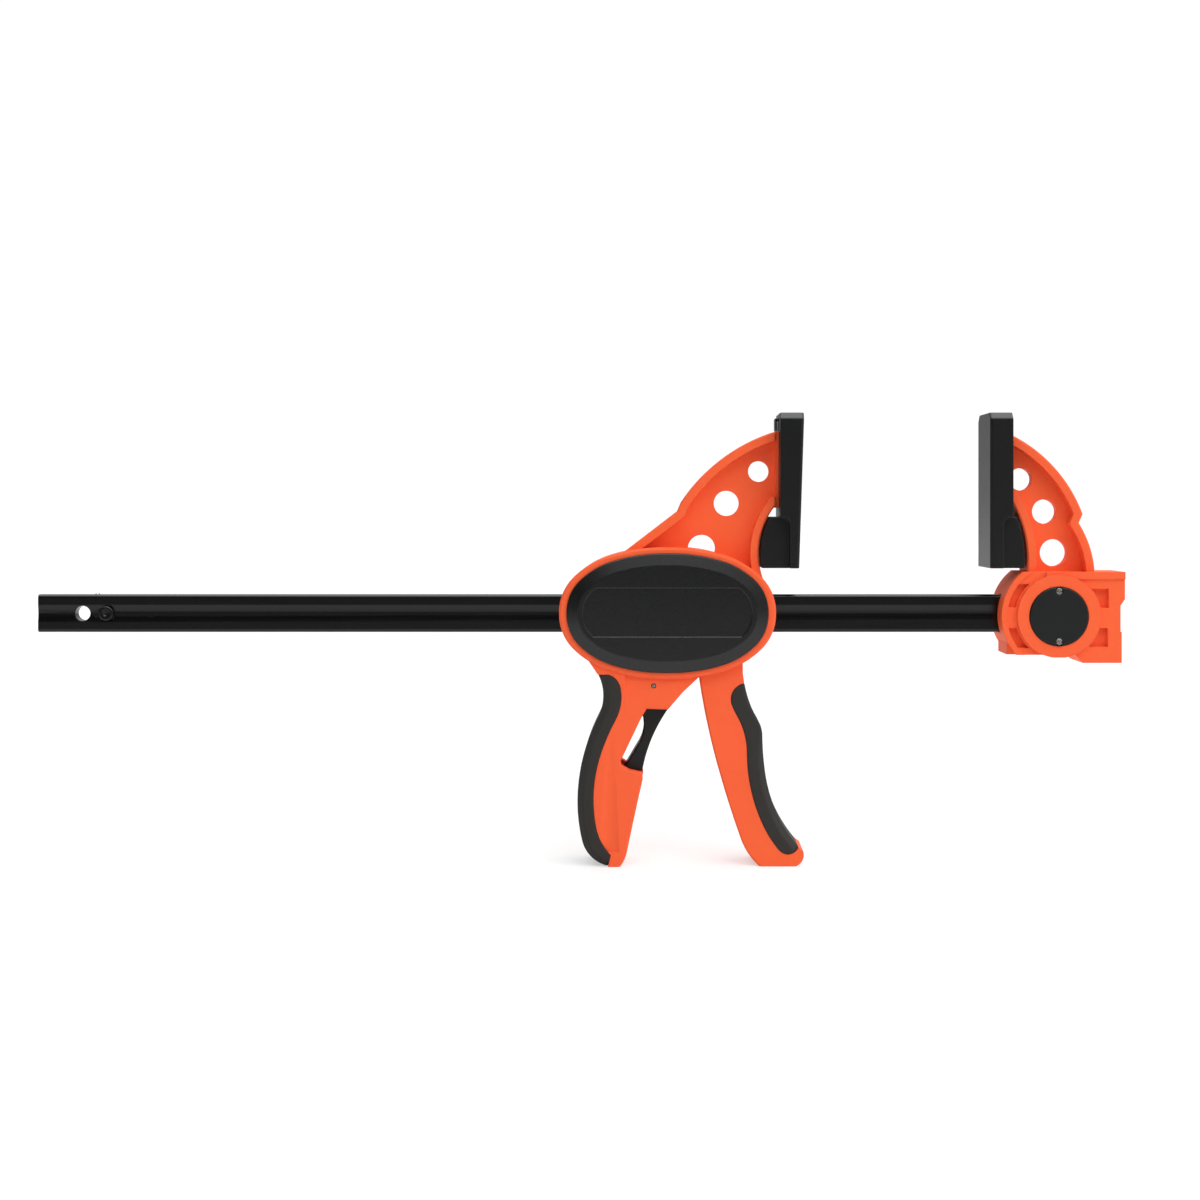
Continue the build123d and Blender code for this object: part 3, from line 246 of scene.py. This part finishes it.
def make_grain_group():
    """Spark-eroded grain: small pits and bumps; its normal also rounds the edges."""
    tree, start, end = new_group(
        "Moulded grain",
        [("Pitch", "NodeSocketFloat", 1800.0), ("Depth", "NodeSocketFloat", 0.00002),
         ("Edge radius", "NodeSocketFloat", 0.0004)],
        [("Normal", "NodeSocketVector"), ("Grain", "NodeSocketFloat")],
    )
    coarse = noise(tree, start.outputs["Pitch"], 3.0, 0.62)
    cells = add(tree, "ShaderNodeTexVoronoi", feature="SMOOTH_F1")
    place = add(tree, "ShaderNodeTexCoord")
    link(tree, place.outputs["Object"], cells.inputs["Vector"])
    link(tree, maths(tree, "MULTIPLY", start.outputs["Pitch"], 0.72), cells.inputs["Scale"])
    pits = maths(tree, "MULTIPLY", cells.outputs["Distance"], 0.35)
    height = maths(tree, "ADD", maths(tree, "MULTIPLY", coarse, 0.65), pits)
    round_edge = add(tree, "ShaderNodeBevel", samples=6)
    link(tree, start.outputs["Edge radius"], round_edge.inputs["Radius"])
    bump = add(tree, "ShaderNodeBump")
    bump.inputs["Strength"].default_value = 1.0
    link(tree, start.outputs["Depth"], bump.inputs["Distance"])
    link(tree, height, bump.inputs["Height"])
    link(tree, round_edge.outputs["Normal"], bump.inputs["Normal"])
    link(tree, bump.outputs["Normal"], end.inputs["Normal"])
    link(tree, height, end.inputs["Grain"])
    return tree


def make_drift_group():
    """Slow change of tone over a moulding, as its melt flowed."""
    tree, start, end = new_group(
        "Colour drift",
        [("Colour", "NodeSocketColor", (0.5, 0.5, 0.5, 1.0)), ("Spread", "NodeSocketFloat", 0.05)],
        [("Colour", "NodeSocketColor"), ("Drift", "NodeSocketFloat")],
    )
    slow = noise(tree, 16.0, 2.0, 0.5)
    fine = noise(tree, 420.0, 2.0, 0.6)
    drift = maths(tree, "ADD", maths(tree, "MULTIPLY", slow, 0.75), maths(tree, "MULTIPLY", fine, 0.25))
    centred = maths(tree, "SUBTRACT", drift, 0.5)
    value = maths(tree, "ADD", maths(tree, "MULTIPLY", centred, start.outputs["Spread"]), 1.0)
    shift = maths(tree, "ADD", maths(tree, "MULTIPLY", centred, 0.008), 0.5)
    tone = add(tree, "ShaderNodeHueSaturation")
    link(tree, shift, tone.inputs["Hue"])
    link(tree, value, tone.inputs["Value"])
    link(tree, start.outputs["Colour"], tone.inputs["Color"])
    link(tree, tone.outputs["Color"], end.inputs["Colour"])
    link(tree, drift, end.inputs["Drift"])
    return tree


def make_wear_group():
    """Mask of rubbed edges, broken up by noise."""
    tree, start, end = new_group(
        "Edge wear",
        [("Reach", "NodeSocketFloat", 0.0006), ("Strength", "NodeSocketFloat", 0.5)],
        [("Mask", "NodeSocketFloat")],
    )
    geometry = add(tree, "ShaderNodeNewGeometry")
    round_edge = add(tree, "ShaderNodeBevel", samples=4)
    link(tree, start.outputs["Reach"], round_edge.inputs["Radius"])
    dot = add(tree, "ShaderNodeVectorMath", operation="DOT_PRODUCT")
    link(tree, geometry.outputs["True Normal"], dot.inputs[0])
    link(tree, round_edge.outputs["Normal"], dot.inputs[1])
    edge = remap(tree, dot.outputs["Value"], 0.985, 0.86)
    broken = remap(tree, noise(tree, 900.0, 4.0, 0.7), 0.42, 0.62)
    mask = maths(tree, "MULTIPLY", edge, broken)
    link(tree, maths(tree, "MULTIPLY", mask, start.outputs["Strength"], clamp=True), end.inputs["Mask"])
    return tree


def make_scuff_group():
    """Mask of faint handling marks: soft patches and fine hairlines."""
    tree, start, end = new_group(
        "Handling marks",
        [("Amount", "NodeSocketFloat", 0.5)],
        [("Mask", "NodeSocketFloat")],
    )
    patches = remap(tree, noise(tree, 45.0, 3.0, 0.6), 0.48, 0.75)
    lines = remap(tree, noise(tree, 260.0, 3.0, 0.65, stretch=(0.35, 1.0, 2.6)), 0.60, 0.72)
    mask = maths(tree, "ADD", maths(tree, "MULTIPLY", patches, 0.6), maths(tree, "MULTIPLY", lines, 0.4))
    link(tree, maths(tree, "MULTIPLY", mask, start.outputs["Amount"], clamp=True), end.inputs["Mask"])
    return tree


def make_streak_group():
    """Drawn or ground streaks along one axis."""
    tree, start, end = new_group(
        "Drawn streaks",
        [("Depth", "NodeSocketFloat", 0.00001), ("Edge radius", "NodeSocketFloat", 0.0002),
         ("Axis scale", "NodeSocketVector", (30.0, 2600.0, 2600.0))],
        [("Normal", "NodeSocketVector"), ("Streak", "NodeSocketFloat")],
    )
    place = add(tree, "ShaderNodeTexCoord")
    stretch = add(tree, "ShaderNodeVectorMath", operation="MULTIPLY")
    link(tree, place.outputs["Object"], stretch.inputs[0])
    link(tree, start.outputs["Axis scale"], stretch.inputs[1])
    texture = add(tree, "ShaderNodeTexNoise")
    texture.inputs["Scale"].default_value = 1.0
    texture.inputs["Detail"].default_value = 4.0
    link(tree, stretch.outputs["Vector"], texture.inputs["Vector"])
    round_edge = add(tree, "ShaderNodeBevel", samples=6)
    link(tree, start.outputs["Edge radius"], round_edge.inputs["Radius"])
    bump = add(tree, "ShaderNodeBump")
    link(tree, start.outputs["Depth"], bump.inputs["Distance"])
    link(tree, texture.outputs["Fac"], bump.inputs["Height"])
    link(tree, round_edge.outputs["Normal"], bump.inputs["Normal"])
    link(tree, bump.outputs["Normal"], end.inputs["Normal"])
    link(tree, texture.outputs["Fac"], end.inputs["Streak"])
    return tree


def place_group(tree, name, **values):
    """Instance of a node group with its own values; underscores in names stand for spaces."""
    node = add(tree, "ShaderNodeGroup", node_tree=bpy.data.node_groups[name])
    for key, value in values.items():
        node.inputs[key.replace("_", " ")].default_value = value
    return node


def new_material(name):
    """Material with a Principled shader; returns the material, its tree and the shader."""
    material = bpy.data.materials.new(name)
    material.use_nodes = True
    shader = material.node_tree.nodes["Principled BSDF"]
    return material, material.node_tree, shader


def moulded(
    name, base, edge, pitch, depth, rough, rough_spread, wear, specular, spread, scuff, bounce=None
):
    """Moulded plastic or rubber: colour drift, grain, rubbed edges and handling marks.

    bounce is the colour that light bounced off it sees, where that differs from its own.
    """
    material, tree, shader = new_material(name)
    drift = place_group(tree, "Colour drift", Colour=(*base, 1.0), Spread=spread)
    grain = place_group(tree, "Moulded grain", Pitch=pitch, Depth=depth, Edge_radius=edge)
    rub = place_group(tree, "Edge wear", Reach=edge * 1.6, Strength=wear)
    marks = place_group(tree, "Handling marks", Amount=scuff)
    lighter = tuple(min(1.0, channel * 1.25 + 0.02) for channel in base)
    rubbed = blend_colour(tree, rub.outputs["Mask"], drift.outputs["Colour"], lighter)
    worn = blend_colour(tree, maths(tree, "MULTIPLY", marks.outputs["Mask"], 0.35), rubbed, lighter)
    if bounce is not None:
        path = add(tree, "ShaderNodeLightPath")
        worn = blend_colour(tree, path.outputs["Is Diffuse Ray"], worn, bounce)
    link(tree, worn, shader.inputs["Base Color"])
    tone = maths(tree, "SUBTRACT", grain.outputs["Grain"], 0.5)
    roughness = maths(tree, "ADD", maths(tree, "MULTIPLY", tone, rough_spread), rough)
    polish = maths(tree, "MULTIPLY", maths(tree, "ADD", marks.outputs["Mask"], rub.outputs["Mask"]), -0.08)
    link(tree, maths(tree, "ADD", roughness, polish, clamp=True), shader.inputs["Roughness"])
    link(tree, grain.outputs["Normal"], shader.inputs["Normal"])
    shader.inputs["Specular IOR Level"].default_value = specular
    return material


def steel_finish(
    name, base, edge, axis_scale, rough, rough_spread, depth, wear,
    metallic=1.0, bare=(0.55, 0.54, 0.52), specular=0.5
):
    """Drawn, ground or blackened steel: streaks, slight tone change and bright rubbed edges."""
    material, tree, shader = new_material(name)
    drift = place_group(tree, "Colour drift", Colour=(*base, 1.0), Spread=0.18)
    streaks = place_group(tree, "Drawn streaks", Depth=depth, Edge_radius=edge, Axis_scale=axis_scale)
    rub = place_group(tree, "Edge wear", Reach=edge * 1.5, Strength=wear)
    worn = blend_colour(tree, rub.outputs["Mask"], drift.outputs["Colour"], bare)
    link(tree, worn, shader.inputs["Base Color"])
    tone = maths(tree, "SUBTRACT", streaks.outputs["Streak"], 0.5)
    roughness = maths(tree, "ADD", maths(tree, "MULTIPLY", tone, rough_spread), rough)
    patchy = maths(tree, "MULTIPLY", drift.outputs["Drift"], 0.06)
    link(tree, maths(tree, "ADD", roughness, patchy, clamp=True), shader.inputs["Roughness"])
    link(tree, streaks.outputs["Normal"], shader.inputs["Normal"])
    shader.inputs["Metallic"].default_value = metallic
    shader.inputs["Specular IOR Level"].default_value = specular
    return material


# ---------------------------------------------------------------- mesh helpers
def joined_mesh(node):
    """Mesh of a CAD node with its split corners joined again."""
    mesh = bmesh.new()
    mesh.from_mesh(frame["nodes"][node].data)
    bmesh.ops.remove_doubles(mesh, verts=mesh.verts, dist=JOIN_REACH)
    bmesh.ops.dissolve_degenerate(mesh, edges=mesh.edges, dist=JOIN_REACH / 2)
    return mesh


def turn_at(edge):
    """Angle between the two faces at an edge; open edges count as flat."""
    return abs(edge.calc_face_angle_signed(0.0)) if len(edge.link_faces) == 2 else 0.0


def room_at(edge):
    """How far an edge can be rounded before it meets the sharp edges that cross it at its ends."""
    room = 1.0
    along = (edge.verts[1].co - edge.verts[0].co).normalized()
    for vert in edge.verts:
        for other in vert.link_edges:
            if other is edge or turn_at(other) < SHARP_TURN:
                continue
            across = other.other_vert(vert).co - vert.co
            if abs(across.normalized().dot(along)) < ALONG_COSINE:
                room = min(room, SHARE_OF_CROSSING * across.length)
    return room


def weigh_edges(mesh, width):
    """Give each sharp edge its share of the rounding width."""
    layers = mesh.edges.layers.float
    layer = layers.get("bevel_weight_edge") or layers.new("bevel_weight_edge")
    for edge in mesh.edges:
        if turn_at(edge) < SHARP_TURN or edge.calc_length() < 1e-7:
            continue
        edge[layer] = min(width, room_at(edge)) / width


def finish_mesh(mesh, name, smooth_angle=SMOOTH_ANGLE):
    """Object from a bmesh, smooth except over its sharp edges."""
    data = bpy.data.meshes.new(name)
    mesh.to_mesh(data)
    mesh.free()
    data.shade_smooth()
    data.set_sharp_from_angle(angle=math.radians(smooth_angle))
    piece = bpy.data.objects.new(name, data)
    bpy.context.scene.collection.objects.link(piece)
    return piece


def round_edges(piece, width, segments):
    """Bevel modifier that follows the edges' weights."""
    bevel = piece.modifiers.new("Soft edges", "BEVEL")
    bevel.limit_method = "WEIGHT"
    bevel.width = width
    bevel.segments = segments
    bevel.use_clamp_overlap = False
    bevel.loop_slide = False
    bevel.miter_outer = "MITER_ARC"
    shade = piece.modifiers.new("Even shading", "WEIGHTED_NORMAL")
    shade.weight = 80
    shade.keep_sharp = True


def adopt(piece, node, material):
    """The piece stands for a CAD node: same body, its own finish."""
    piece.data.materials.clear()
    piece.data.materials.append(bpy.data.materials[material])
    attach(piece, BODY_OF_NODE[node])
    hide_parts(node)
    return piece


def soften(node, width, segments, material, smooth_angle=SMOOTH_ANGLE):
    """Softened copy of a rigid CAD node that replaces it."""
    mesh = joined_mesh(node)
    weigh_edges(mesh, width)
    piece = finish_mesh(mesh, node + "_soft", smooth_angle)
    round_edges(piece, width, segments)
    return adopt(piece, node, material)


def paint(node, material):
    """Give a CAD node that stays its finish."""
    data = frame["nodes"][node].data
    data.materials.clear()
    data.materials.append(bpy.data.materials[material])


def melt(node, voxel, passes, material):
    """Soft copy of a CAD node that replaces it: an even fine mesh, smoothed so that every edge is round."""
    source = finish_mesh(joined_mesh(node), node + "_source")
    remesh = source.modifiers.new("Even mesh", "REMESH")
    remesh.mode = "VOXEL"
    remesh.voxel_size = voxel
    smooth = source.modifiers.new("Round over", "SMOOTH")
    smooth.factor = 0.5
    smooth.iterations = passes
    bpy.context.view_layer.update()
    evaluated = source.evaluated_get(bpy.context.evaluated_depsgraph_get())
    data = bpy.data.meshes.new_from_object(evaluated)
    data.name = node + "_soft"
    data.shade_smooth()
    bpy.data.objects.remove(source)
    piece = bpy.data.objects.new(node + "_soft", data)
    bpy.context.scene.collection.objects.link(piece)
    return adopt(piece, node, material)


def wind(start, along, radius, wire, turns, height, sides=10, pieces=36):
    """Round-wire compression spring from start, wound evenly along an axis; the wire's two ends are capped.
    """
    along = along.normalized()
    across = Vector((0, 0, 1)) if abs(along.z) < 0.9 else Vector((1, 0, 0))
    side = along.cross(across).normalized()
    total = int(turns * pieces)
    mesh = bmesh.new()
    rings = []
    for step in range(total + 1):
        turn = 2 * math.pi * step / pieces
        out = across * math.cos(turn) + side * math.sin(turn)
        middle = start + out * radius + along * (wire / 2 + (height - wire) * step / total)
        heading = (side * math.cos(turn) - across * math.sin(turn)).normalized()
        up = out.cross(heading)
        ring = []
        for corner in range(sides):
            angle = 2 * math.pi * corner / sides
            ring.append(mesh.verts.new(middle + (out * math.cos(angle) + up * math.sin(angle)) * wire / 2))
        rings.append(ring)
    for low, high in zip(rings, rings[1:]):
        for corner in range(sides):
            after = (corner + 1) % sides
            mesh.faces.new((low[corner], low[after], high[after], high[corner]))
    mesh.faces.new(rings[0])
    mesh.faces.new(rings[-1])
    bmesh.ops.recalc_face_normals(mesh, faces=mesh.faces)
    return mesh


# ---------------------------------------------------------------- operators
class CLAMP_OT_finishes(bpy.types.Operator):
    """Build the shared effects and every finish of the clamp"""
    bl_idname = "clamp.finishes"
    bl_label = "Finishes"

    def execute(self, context):
        tones = context.scene.clamp_colours
        edges = context.scene.clamp_edges
        make_grain_group()
        make_drift_group()
        make_wear_group()
        make_scuff_group()
        make_streak_group()
        moulded("Orange nylon", tones.orange, edges.moulding, pitch=2300, depth=0.000012,
                rough=0.55, rough_spread=0.20, wear=0.22, specular=0.14, spread=0.05, scuff=0.12,
                bounce=tones.bounce)
        moulded("Black nylon", tones.black, edges.moulding, pitch=2000, depth=0.00003,
                rough=0.42, rough_spread=0.25, wear=0.10, specular=0.25, spread=0.25, scuff=0.10)
        moulded("Cover nylon", tones.cover, edges.cover, pitch=2000, depth=0.00003,
                rough=0.30, rough_spread=0.16, wear=0.10, specular=0.42, spread=0.25, scuff=0.08)
        moulded("Grip rubber", tones.rubber, edges.overmould, pitch=1500, depth=0.00004,
                rough=0.66, rough_spread=0.20, wear=0.06, specular=0.22, spread=0.25, scuff=0.16)
        moulded("Pad rubber", tones.pad, edges.pad, pitch=1700, depth=0.00003,
                rough=0.38, rough_spread=0.20, wear=0.10, specular=0.30, spread=0.25, scuff=0.14)
        steel_finish("Black oxide steel", tones.oxide, edges.bar, (26.0, 2400.0, 2400.0),
                     rough=0.20, rough_spread=0.16, depth=0.000003, wear=0.20,
                     metallic=0.0, bare=(0.055, 0.055, 0.058), specular=0.32)
        steel_finish("Ground plate steel", tones.steel, edges.steel, (2400.0, 30.0, 2400.0),
                     rough=0.30, rough_spread=0.20, depth=0.000008, wear=0.3)
        steel_finish("Turned pin steel", tones.pin, edges.steel, (2200.0, 60.0, 2200.0),
                     rough=0.24, rough_spread=0.15, depth=0.000004, wear=0.2)
        steel_finish("Zinc wire", tones.zinc, edges.steel / 2, (900.0, 900.0, 900.0),
                     rough=0.28, rough_spread=0.15, depth=0.000004, wear=0.1)
        return {"FINISHED"}


class CLAMP_OT_mouldings(bpy.types.Operator):
    """Orange mouldings: head with its jaw arm and handle, squeeze lever, far jaw"""
    bl_idname = "clamp.mouldings"
    bl_label = "Orange mouldings"

    def execute(self, context):
        for node in ("head_body", "squeeze_lever", "fixed_jaw"):
            paint(node, "Orange nylon")
        return {"FINISHED"}


class CLAMP_OT_covers(bpy.types.Operator):
    """Oval covers, release trigger, lock button and its carrier"""
    bl_idname = "clamp.covers"
    bl_label = "Covers and controls"

    def execute(self, context):
        for node in ("front_cover", "rear_cover"):
            paint(node, "Cover nylon")
        paint("release_trigger", "Black nylon")
        for node in ("lock_button", "lock_carrier"):
            soften(node, context.scene.clamp_edges.button, 3, "Black nylon")
        return {"FINISHED"}


class CLAMP_OT_overmoulds(bpy.types.Operator):
    """Soft overmoulds on the handle and the lever"""
    bl_idname = "clamp.overmoulds"
    bl_label = "Soft overmoulds"

    def execute(self, context):
        for node in ("handle_grip", "lever_grip"):
            melt(node, context.scene.clamp_edges.overmould_cell, 5, "Grip rubber")
        return {"FINISHED"}


class CLAMP_OT_pads(bpy.types.Operator):
    """Clamping pads"""
    bl_idname = "clamp.pads"
    bl_label = "Pads"

    def execute(self, context):
        for node in ("movable_pad", "fixed_pad"):
            soften(node, context.scene.clamp_edges.pad, 3, "Pad rubber")
        return {"FINISHED"}


class CLAMP_OT_steel(bpy.types.Operator):
    """Bar with its stop pin, plates, brake and pins"""
    bl_idname = "clamp.steel"
    bl_label = "Steel parts"

    def execute(self, context):
        edges = context.scene.clamp_edges
        soften("bar", edges.steel, 2, "Black oxide steel", smooth_angle=BAR_SMOOTH_ANGLE)
        soften("stop_pin", edges.pin * 1.5, 4, "Black oxide steel")
        for node in ("drive_plate_1", "drive_plate_2", "drive_plate_3", "brake_plate"):
            soften(node, edges.steel, 2, "Ground plate steel")
        for node in ("lever_pin", "release_pin", "lock_pin", "lock_guide_pin_upper", "lock_guide_pin_lower"):
            soften(node, edges.pin, 3, "Turned pin steel")
        return {"FINISHED"}


class CLAMP_OT_springs(bpy.types.Operator):
    """Round-wire springs, each wound to fill its CAD node's box"""
    bl_idname = "clamp.springs"
    bl_label = "Springs"

    def execute(self, context):
        springs = (     # node, axis, wire, turns, joint that presses it, share of its length kept
            ("drive_spring", Vector((1, 0, 0)), 1.2 * MM, 3.5, "drive_push", 0.55),
            ("brake_spring", Vector((1, 0, 0)), 0.9 * MM, 5.5, "brake_release", 0.9),
            ("lock_spring", Vector((0, 1, 0)), 1.0 * MM, 2.5, "lock_press", 0.4),
        )
        for node, along, wire, turns, joint, keep in springs:
            low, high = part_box(node)
            size = high - low
            height = size.dot(along)
            radius = (max(size.y, size.z) if along.x else max(size.x, size.z)) / 2 - wire / 2
            middle = (low + high) / 2
            start = middle - along * height / 2
            piece = finish_mesh(wind(start, along, radius, wire, turns, height), node + "_wire")
            adopt(piece, node, "Zinc wire")
            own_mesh(piece)
        return {"FINISHED"}


class CLAMP_OT_stage(bpy.types.Operator):
    """Pale floor, soft studio light and the camera"""
    bl_idname = "clamp.stage"
    bl_label = "Studio"

    def execute(self, context):
        studio = context.scene.clamp_studio
        self.make_camera(context.scene, studio)
        self.make_floor(studio)
        self.make_room(context.scene, studio)
        self.make_lights()
        context.scene.view_settings.view_transform = "Standard"
        return {"FINISHED"}

    def make_camera(self, scene, studio):
        """Camera that looks squarely across the bar, its frame shifted to hold the clamp."""
        data = bpy.data.cameras.new("Camera")
        data.sensor_width = 36.0
        data.lens = data.sensor_width * studio.distance / studio.view_width
        data.shift_x = (studio.centre_x - studio.eye_x) / studio.view_width
        data.shift_y = (studio.centre_height - studio.eye_height) / studio.view_width
        camera = bpy.data.objects.new("Camera", data)
        camera.location = (studio.eye_x, -studio.distance, studio.eye_height)
        camera.rotation_euler = (math.radians(90), 0, 0)
        scene.collection.objects.link(camera)
        scene.camera = camera

    def make_floor(self, studio):
        """Large pale floor; what it throws on the clamp from in front is dark."""
        mesh = bmesh.new()
        bmesh.ops.create_grid(mesh, x_segments=2, y_segments=2, size=40.0)
        data = bpy.data.meshes.new("Floor")
        mesh.to_mesh(data)
        mesh.free()
        floor = bpy.data.objects.new("Floor", data)
        bpy.context.scene.collection.objects.link(floor)
        material, tree, shader = new_material("Pale floor")
        place = add(tree, "ShaderNodeTexCoord").outputs["Object"]
        away = add(tree, "ShaderNodeVectorMath", operation="LENGTH")
        link(tree, place, away.inputs[0])
        near, far = 0.35, 1.8
        paper = remap(tree, away.outputs["Value"], near, far, studio.floor_tone, studio.far_floor_tone)
        paper = maths(tree, "SUBTRACT", paper, maths(tree, "MULTIPLY", noise(tree, 3.0, 2.0), 0.01))
        across = add(tree, "ShaderNodeSeparateXYZ")
        link(tree, place, across.inputs["Vector"])
        dark_front = remap(tree, across.outputs["Y"], -1.6, -0.5, 0.08, 1.0)
        path = add(tree, "ShaderNodeLightPath")
        seen = path.outputs["Is Camera Ray"]
        unseen_tone = maths(tree, "MULTIPLY", paper, dark_front)
        tone = choose(tree, seen, unseen_tone, maths(tree, "MULTIPLY", paper, studio.floor_shade))
        link(tree, choose(tree, seen, 0.0, studio.floor_glow), shader.inputs["Emission Strength"])
        mix = add(tree, "ShaderNodeCombineColor")
        for socket in mix.inputs:
            link(tree, tone, socket)
        link(tree, mix.outputs["Color"], shader.inputs["Base Color"])
        shader.inputs["Roughness"].default_value = 0.9
        shader.inputs["Specular IOR Level"].default_value = 0.1
        data.materials.append(material)

    def make_room(self, scene, studio):
        """White room that lights the clamp from behind and above and leaves its front dim."""
        world = scene.world or bpy.data.worlds.new("Room")
        scene.world = world
        world.use_nodes = True
        tree = world.node_tree
        tree.nodes.clear()
        direction = add(tree, "ShaderNodeTexCoord").outputs["Generated"]
        parts = add(tree, "ShaderNodeSeparateXYZ")
        link(tree, direction, parts.inputs["Vector"])
        back = remap(tree, parts.outputs["Y"], 0.10, 0.55, studio.front_light, studio.back_light)
        dim_horizon = remap(tree, parts.outputs["Z"], 0.0, 0.45, 0.35, 1.0)
        back = maths(tree, "MULTIPLY", back, dim_horizon)
        upwards = maths(tree, "ADD", parts.outputs["Z"], maths(tree, "MULTIPLY", parts.outputs["X"], 0.40))
        ceiling = remap(tree, upwards, 0.25, 0.80, 0.0, studio.ceiling_light)
        lit = maths(tree, "MAXIMUM", back, ceiling)
        path = add(tree, "ShaderNodeLightPath")
        zenith = maths(tree, "MULTIPLY", remap(tree, parts.outputs["Z"], 0.70, 0.95), studio.zenith_gloss)
        gloss = maths(tree, "MULTIPLY", zenith, path.outputs["Is Glossy Ray"])
        lit = maths(tree, "ADD", lit, gloss)
        strength = choose(tree, path.outputs["Is Camera Ray"], lit, studio.back_light)
        background = add(tree, "ShaderNodeBackground")
        background.inputs["Color"].default_value = (1.0, 1.0, 1.0, 1.0)
        link(tree, strength, background.inputs["Strength"])
        output = add(tree, "ShaderNodeOutputWorld")
        link(tree, background.outputs["Background"], output.inputs["Surface"])

    def make_lights(self):
        """Softboxes: overhead, left front and right front."""
        boxes = (       # name, place, target, width, depth, watts
            ("Overhead box", (0.35, -0.9, 1.25), (0.0, 0.0, 0.12), 2.0, 0.9, 9.0),
            ("Left box", (-1.2, -0.8, 0.60), (0.0, 0.0, 0.12), 0.8, 0.8, 0.6),
            ("Right box", (1.3, -0.8, 0.60), (0.0, 0.0, 0.12), 0.8, 0.8, 2.5),
        )
        for name, place, target, width, depth, power in boxes:
            data = bpy.data.lights.new(name, "AREA")
            data.shape = "RECTANGLE"
            data.size, data.size_y = width, depth
            data.energy = power
            box = bpy.data.objects.new(name, data)
            box.location = place
            heading = Vector(target) - Vector(place)
            box.rotation_euler = heading.to_track_quat("-Z", "Y").to_euler()
            bpy.context.scene.collection.objects.link(box)


OPERATORS = (
    CLAMP_OT_finishes, CLAMP_OT_mouldings, CLAMP_OT_covers, CLAMP_OT_overmoulds, CLAMP_OT_pads,
    CLAMP_OT_steel, CLAMP_OT_springs, CLAMP_OT_stage,
)


class CLAMP_PT_panel(bpy.types.Panel):
    """Clamp tab in the sidebar"""
    bl_idname = "CLAMP_PT_panel"
    bl_label = "Trigger bar clamp"
    bl_space_type = "VIEW_3D"
    bl_region_type = "UI"
    bl_category = "Clamp"

    def draw(self, context):
        layout = self.layout
        for group in ("clamp_edges", "clamp_colours", "clamp_studio"):
            settings = getattr(context.scene, group)
            column = layout.box().column()
            for name in settings.__annotations__:
                column.prop(settings, name)
        for operator in OPERATORS:
            layout.operator(operator.bl_idname)


GROUPS = {"clamp_edges": ClampEdges, "clamp_colours": ClampColours, "clamp_studio": ClampStudio}


def register():
    for group in GROUPS.values():
        bpy.utils.register_class(group)
    for operator in OPERATORS:
        bpy.utils.register_class(operator)
    bpy.utils.register_class(CLAMP_PT_panel)
    for name, group in GROUPS.items():
        setattr(bpy.types.Scene, name, bpy.props.PointerProperty(type=group))


def unregister():
    for name in GROUPS:
        delattr(bpy.types.Scene, name)
    bpy.utils.unregister_class(CLAMP_PT_panel)
    for operator in reversed(OPERATORS):
        bpy.utils.unregister_class(operator)
    for group in GROUPS.values():
        bpy.utils.unregister_class(group)


def main():
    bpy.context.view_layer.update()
    register()
    bpy.ops.clamp.finishes()
    bpy.ops.clamp.mouldings()
    bpy.ops.clamp.covers()
    bpy.ops.clamp.overmoulds()
    bpy.ops.clamp.pads()
    bpy.ops.clamp.steel()
    bpy.ops.clamp.springs()
    bpy.ops.clamp.stage()
    bpy.context.view_layer.update()


if __name__ == "__main__":
    main()
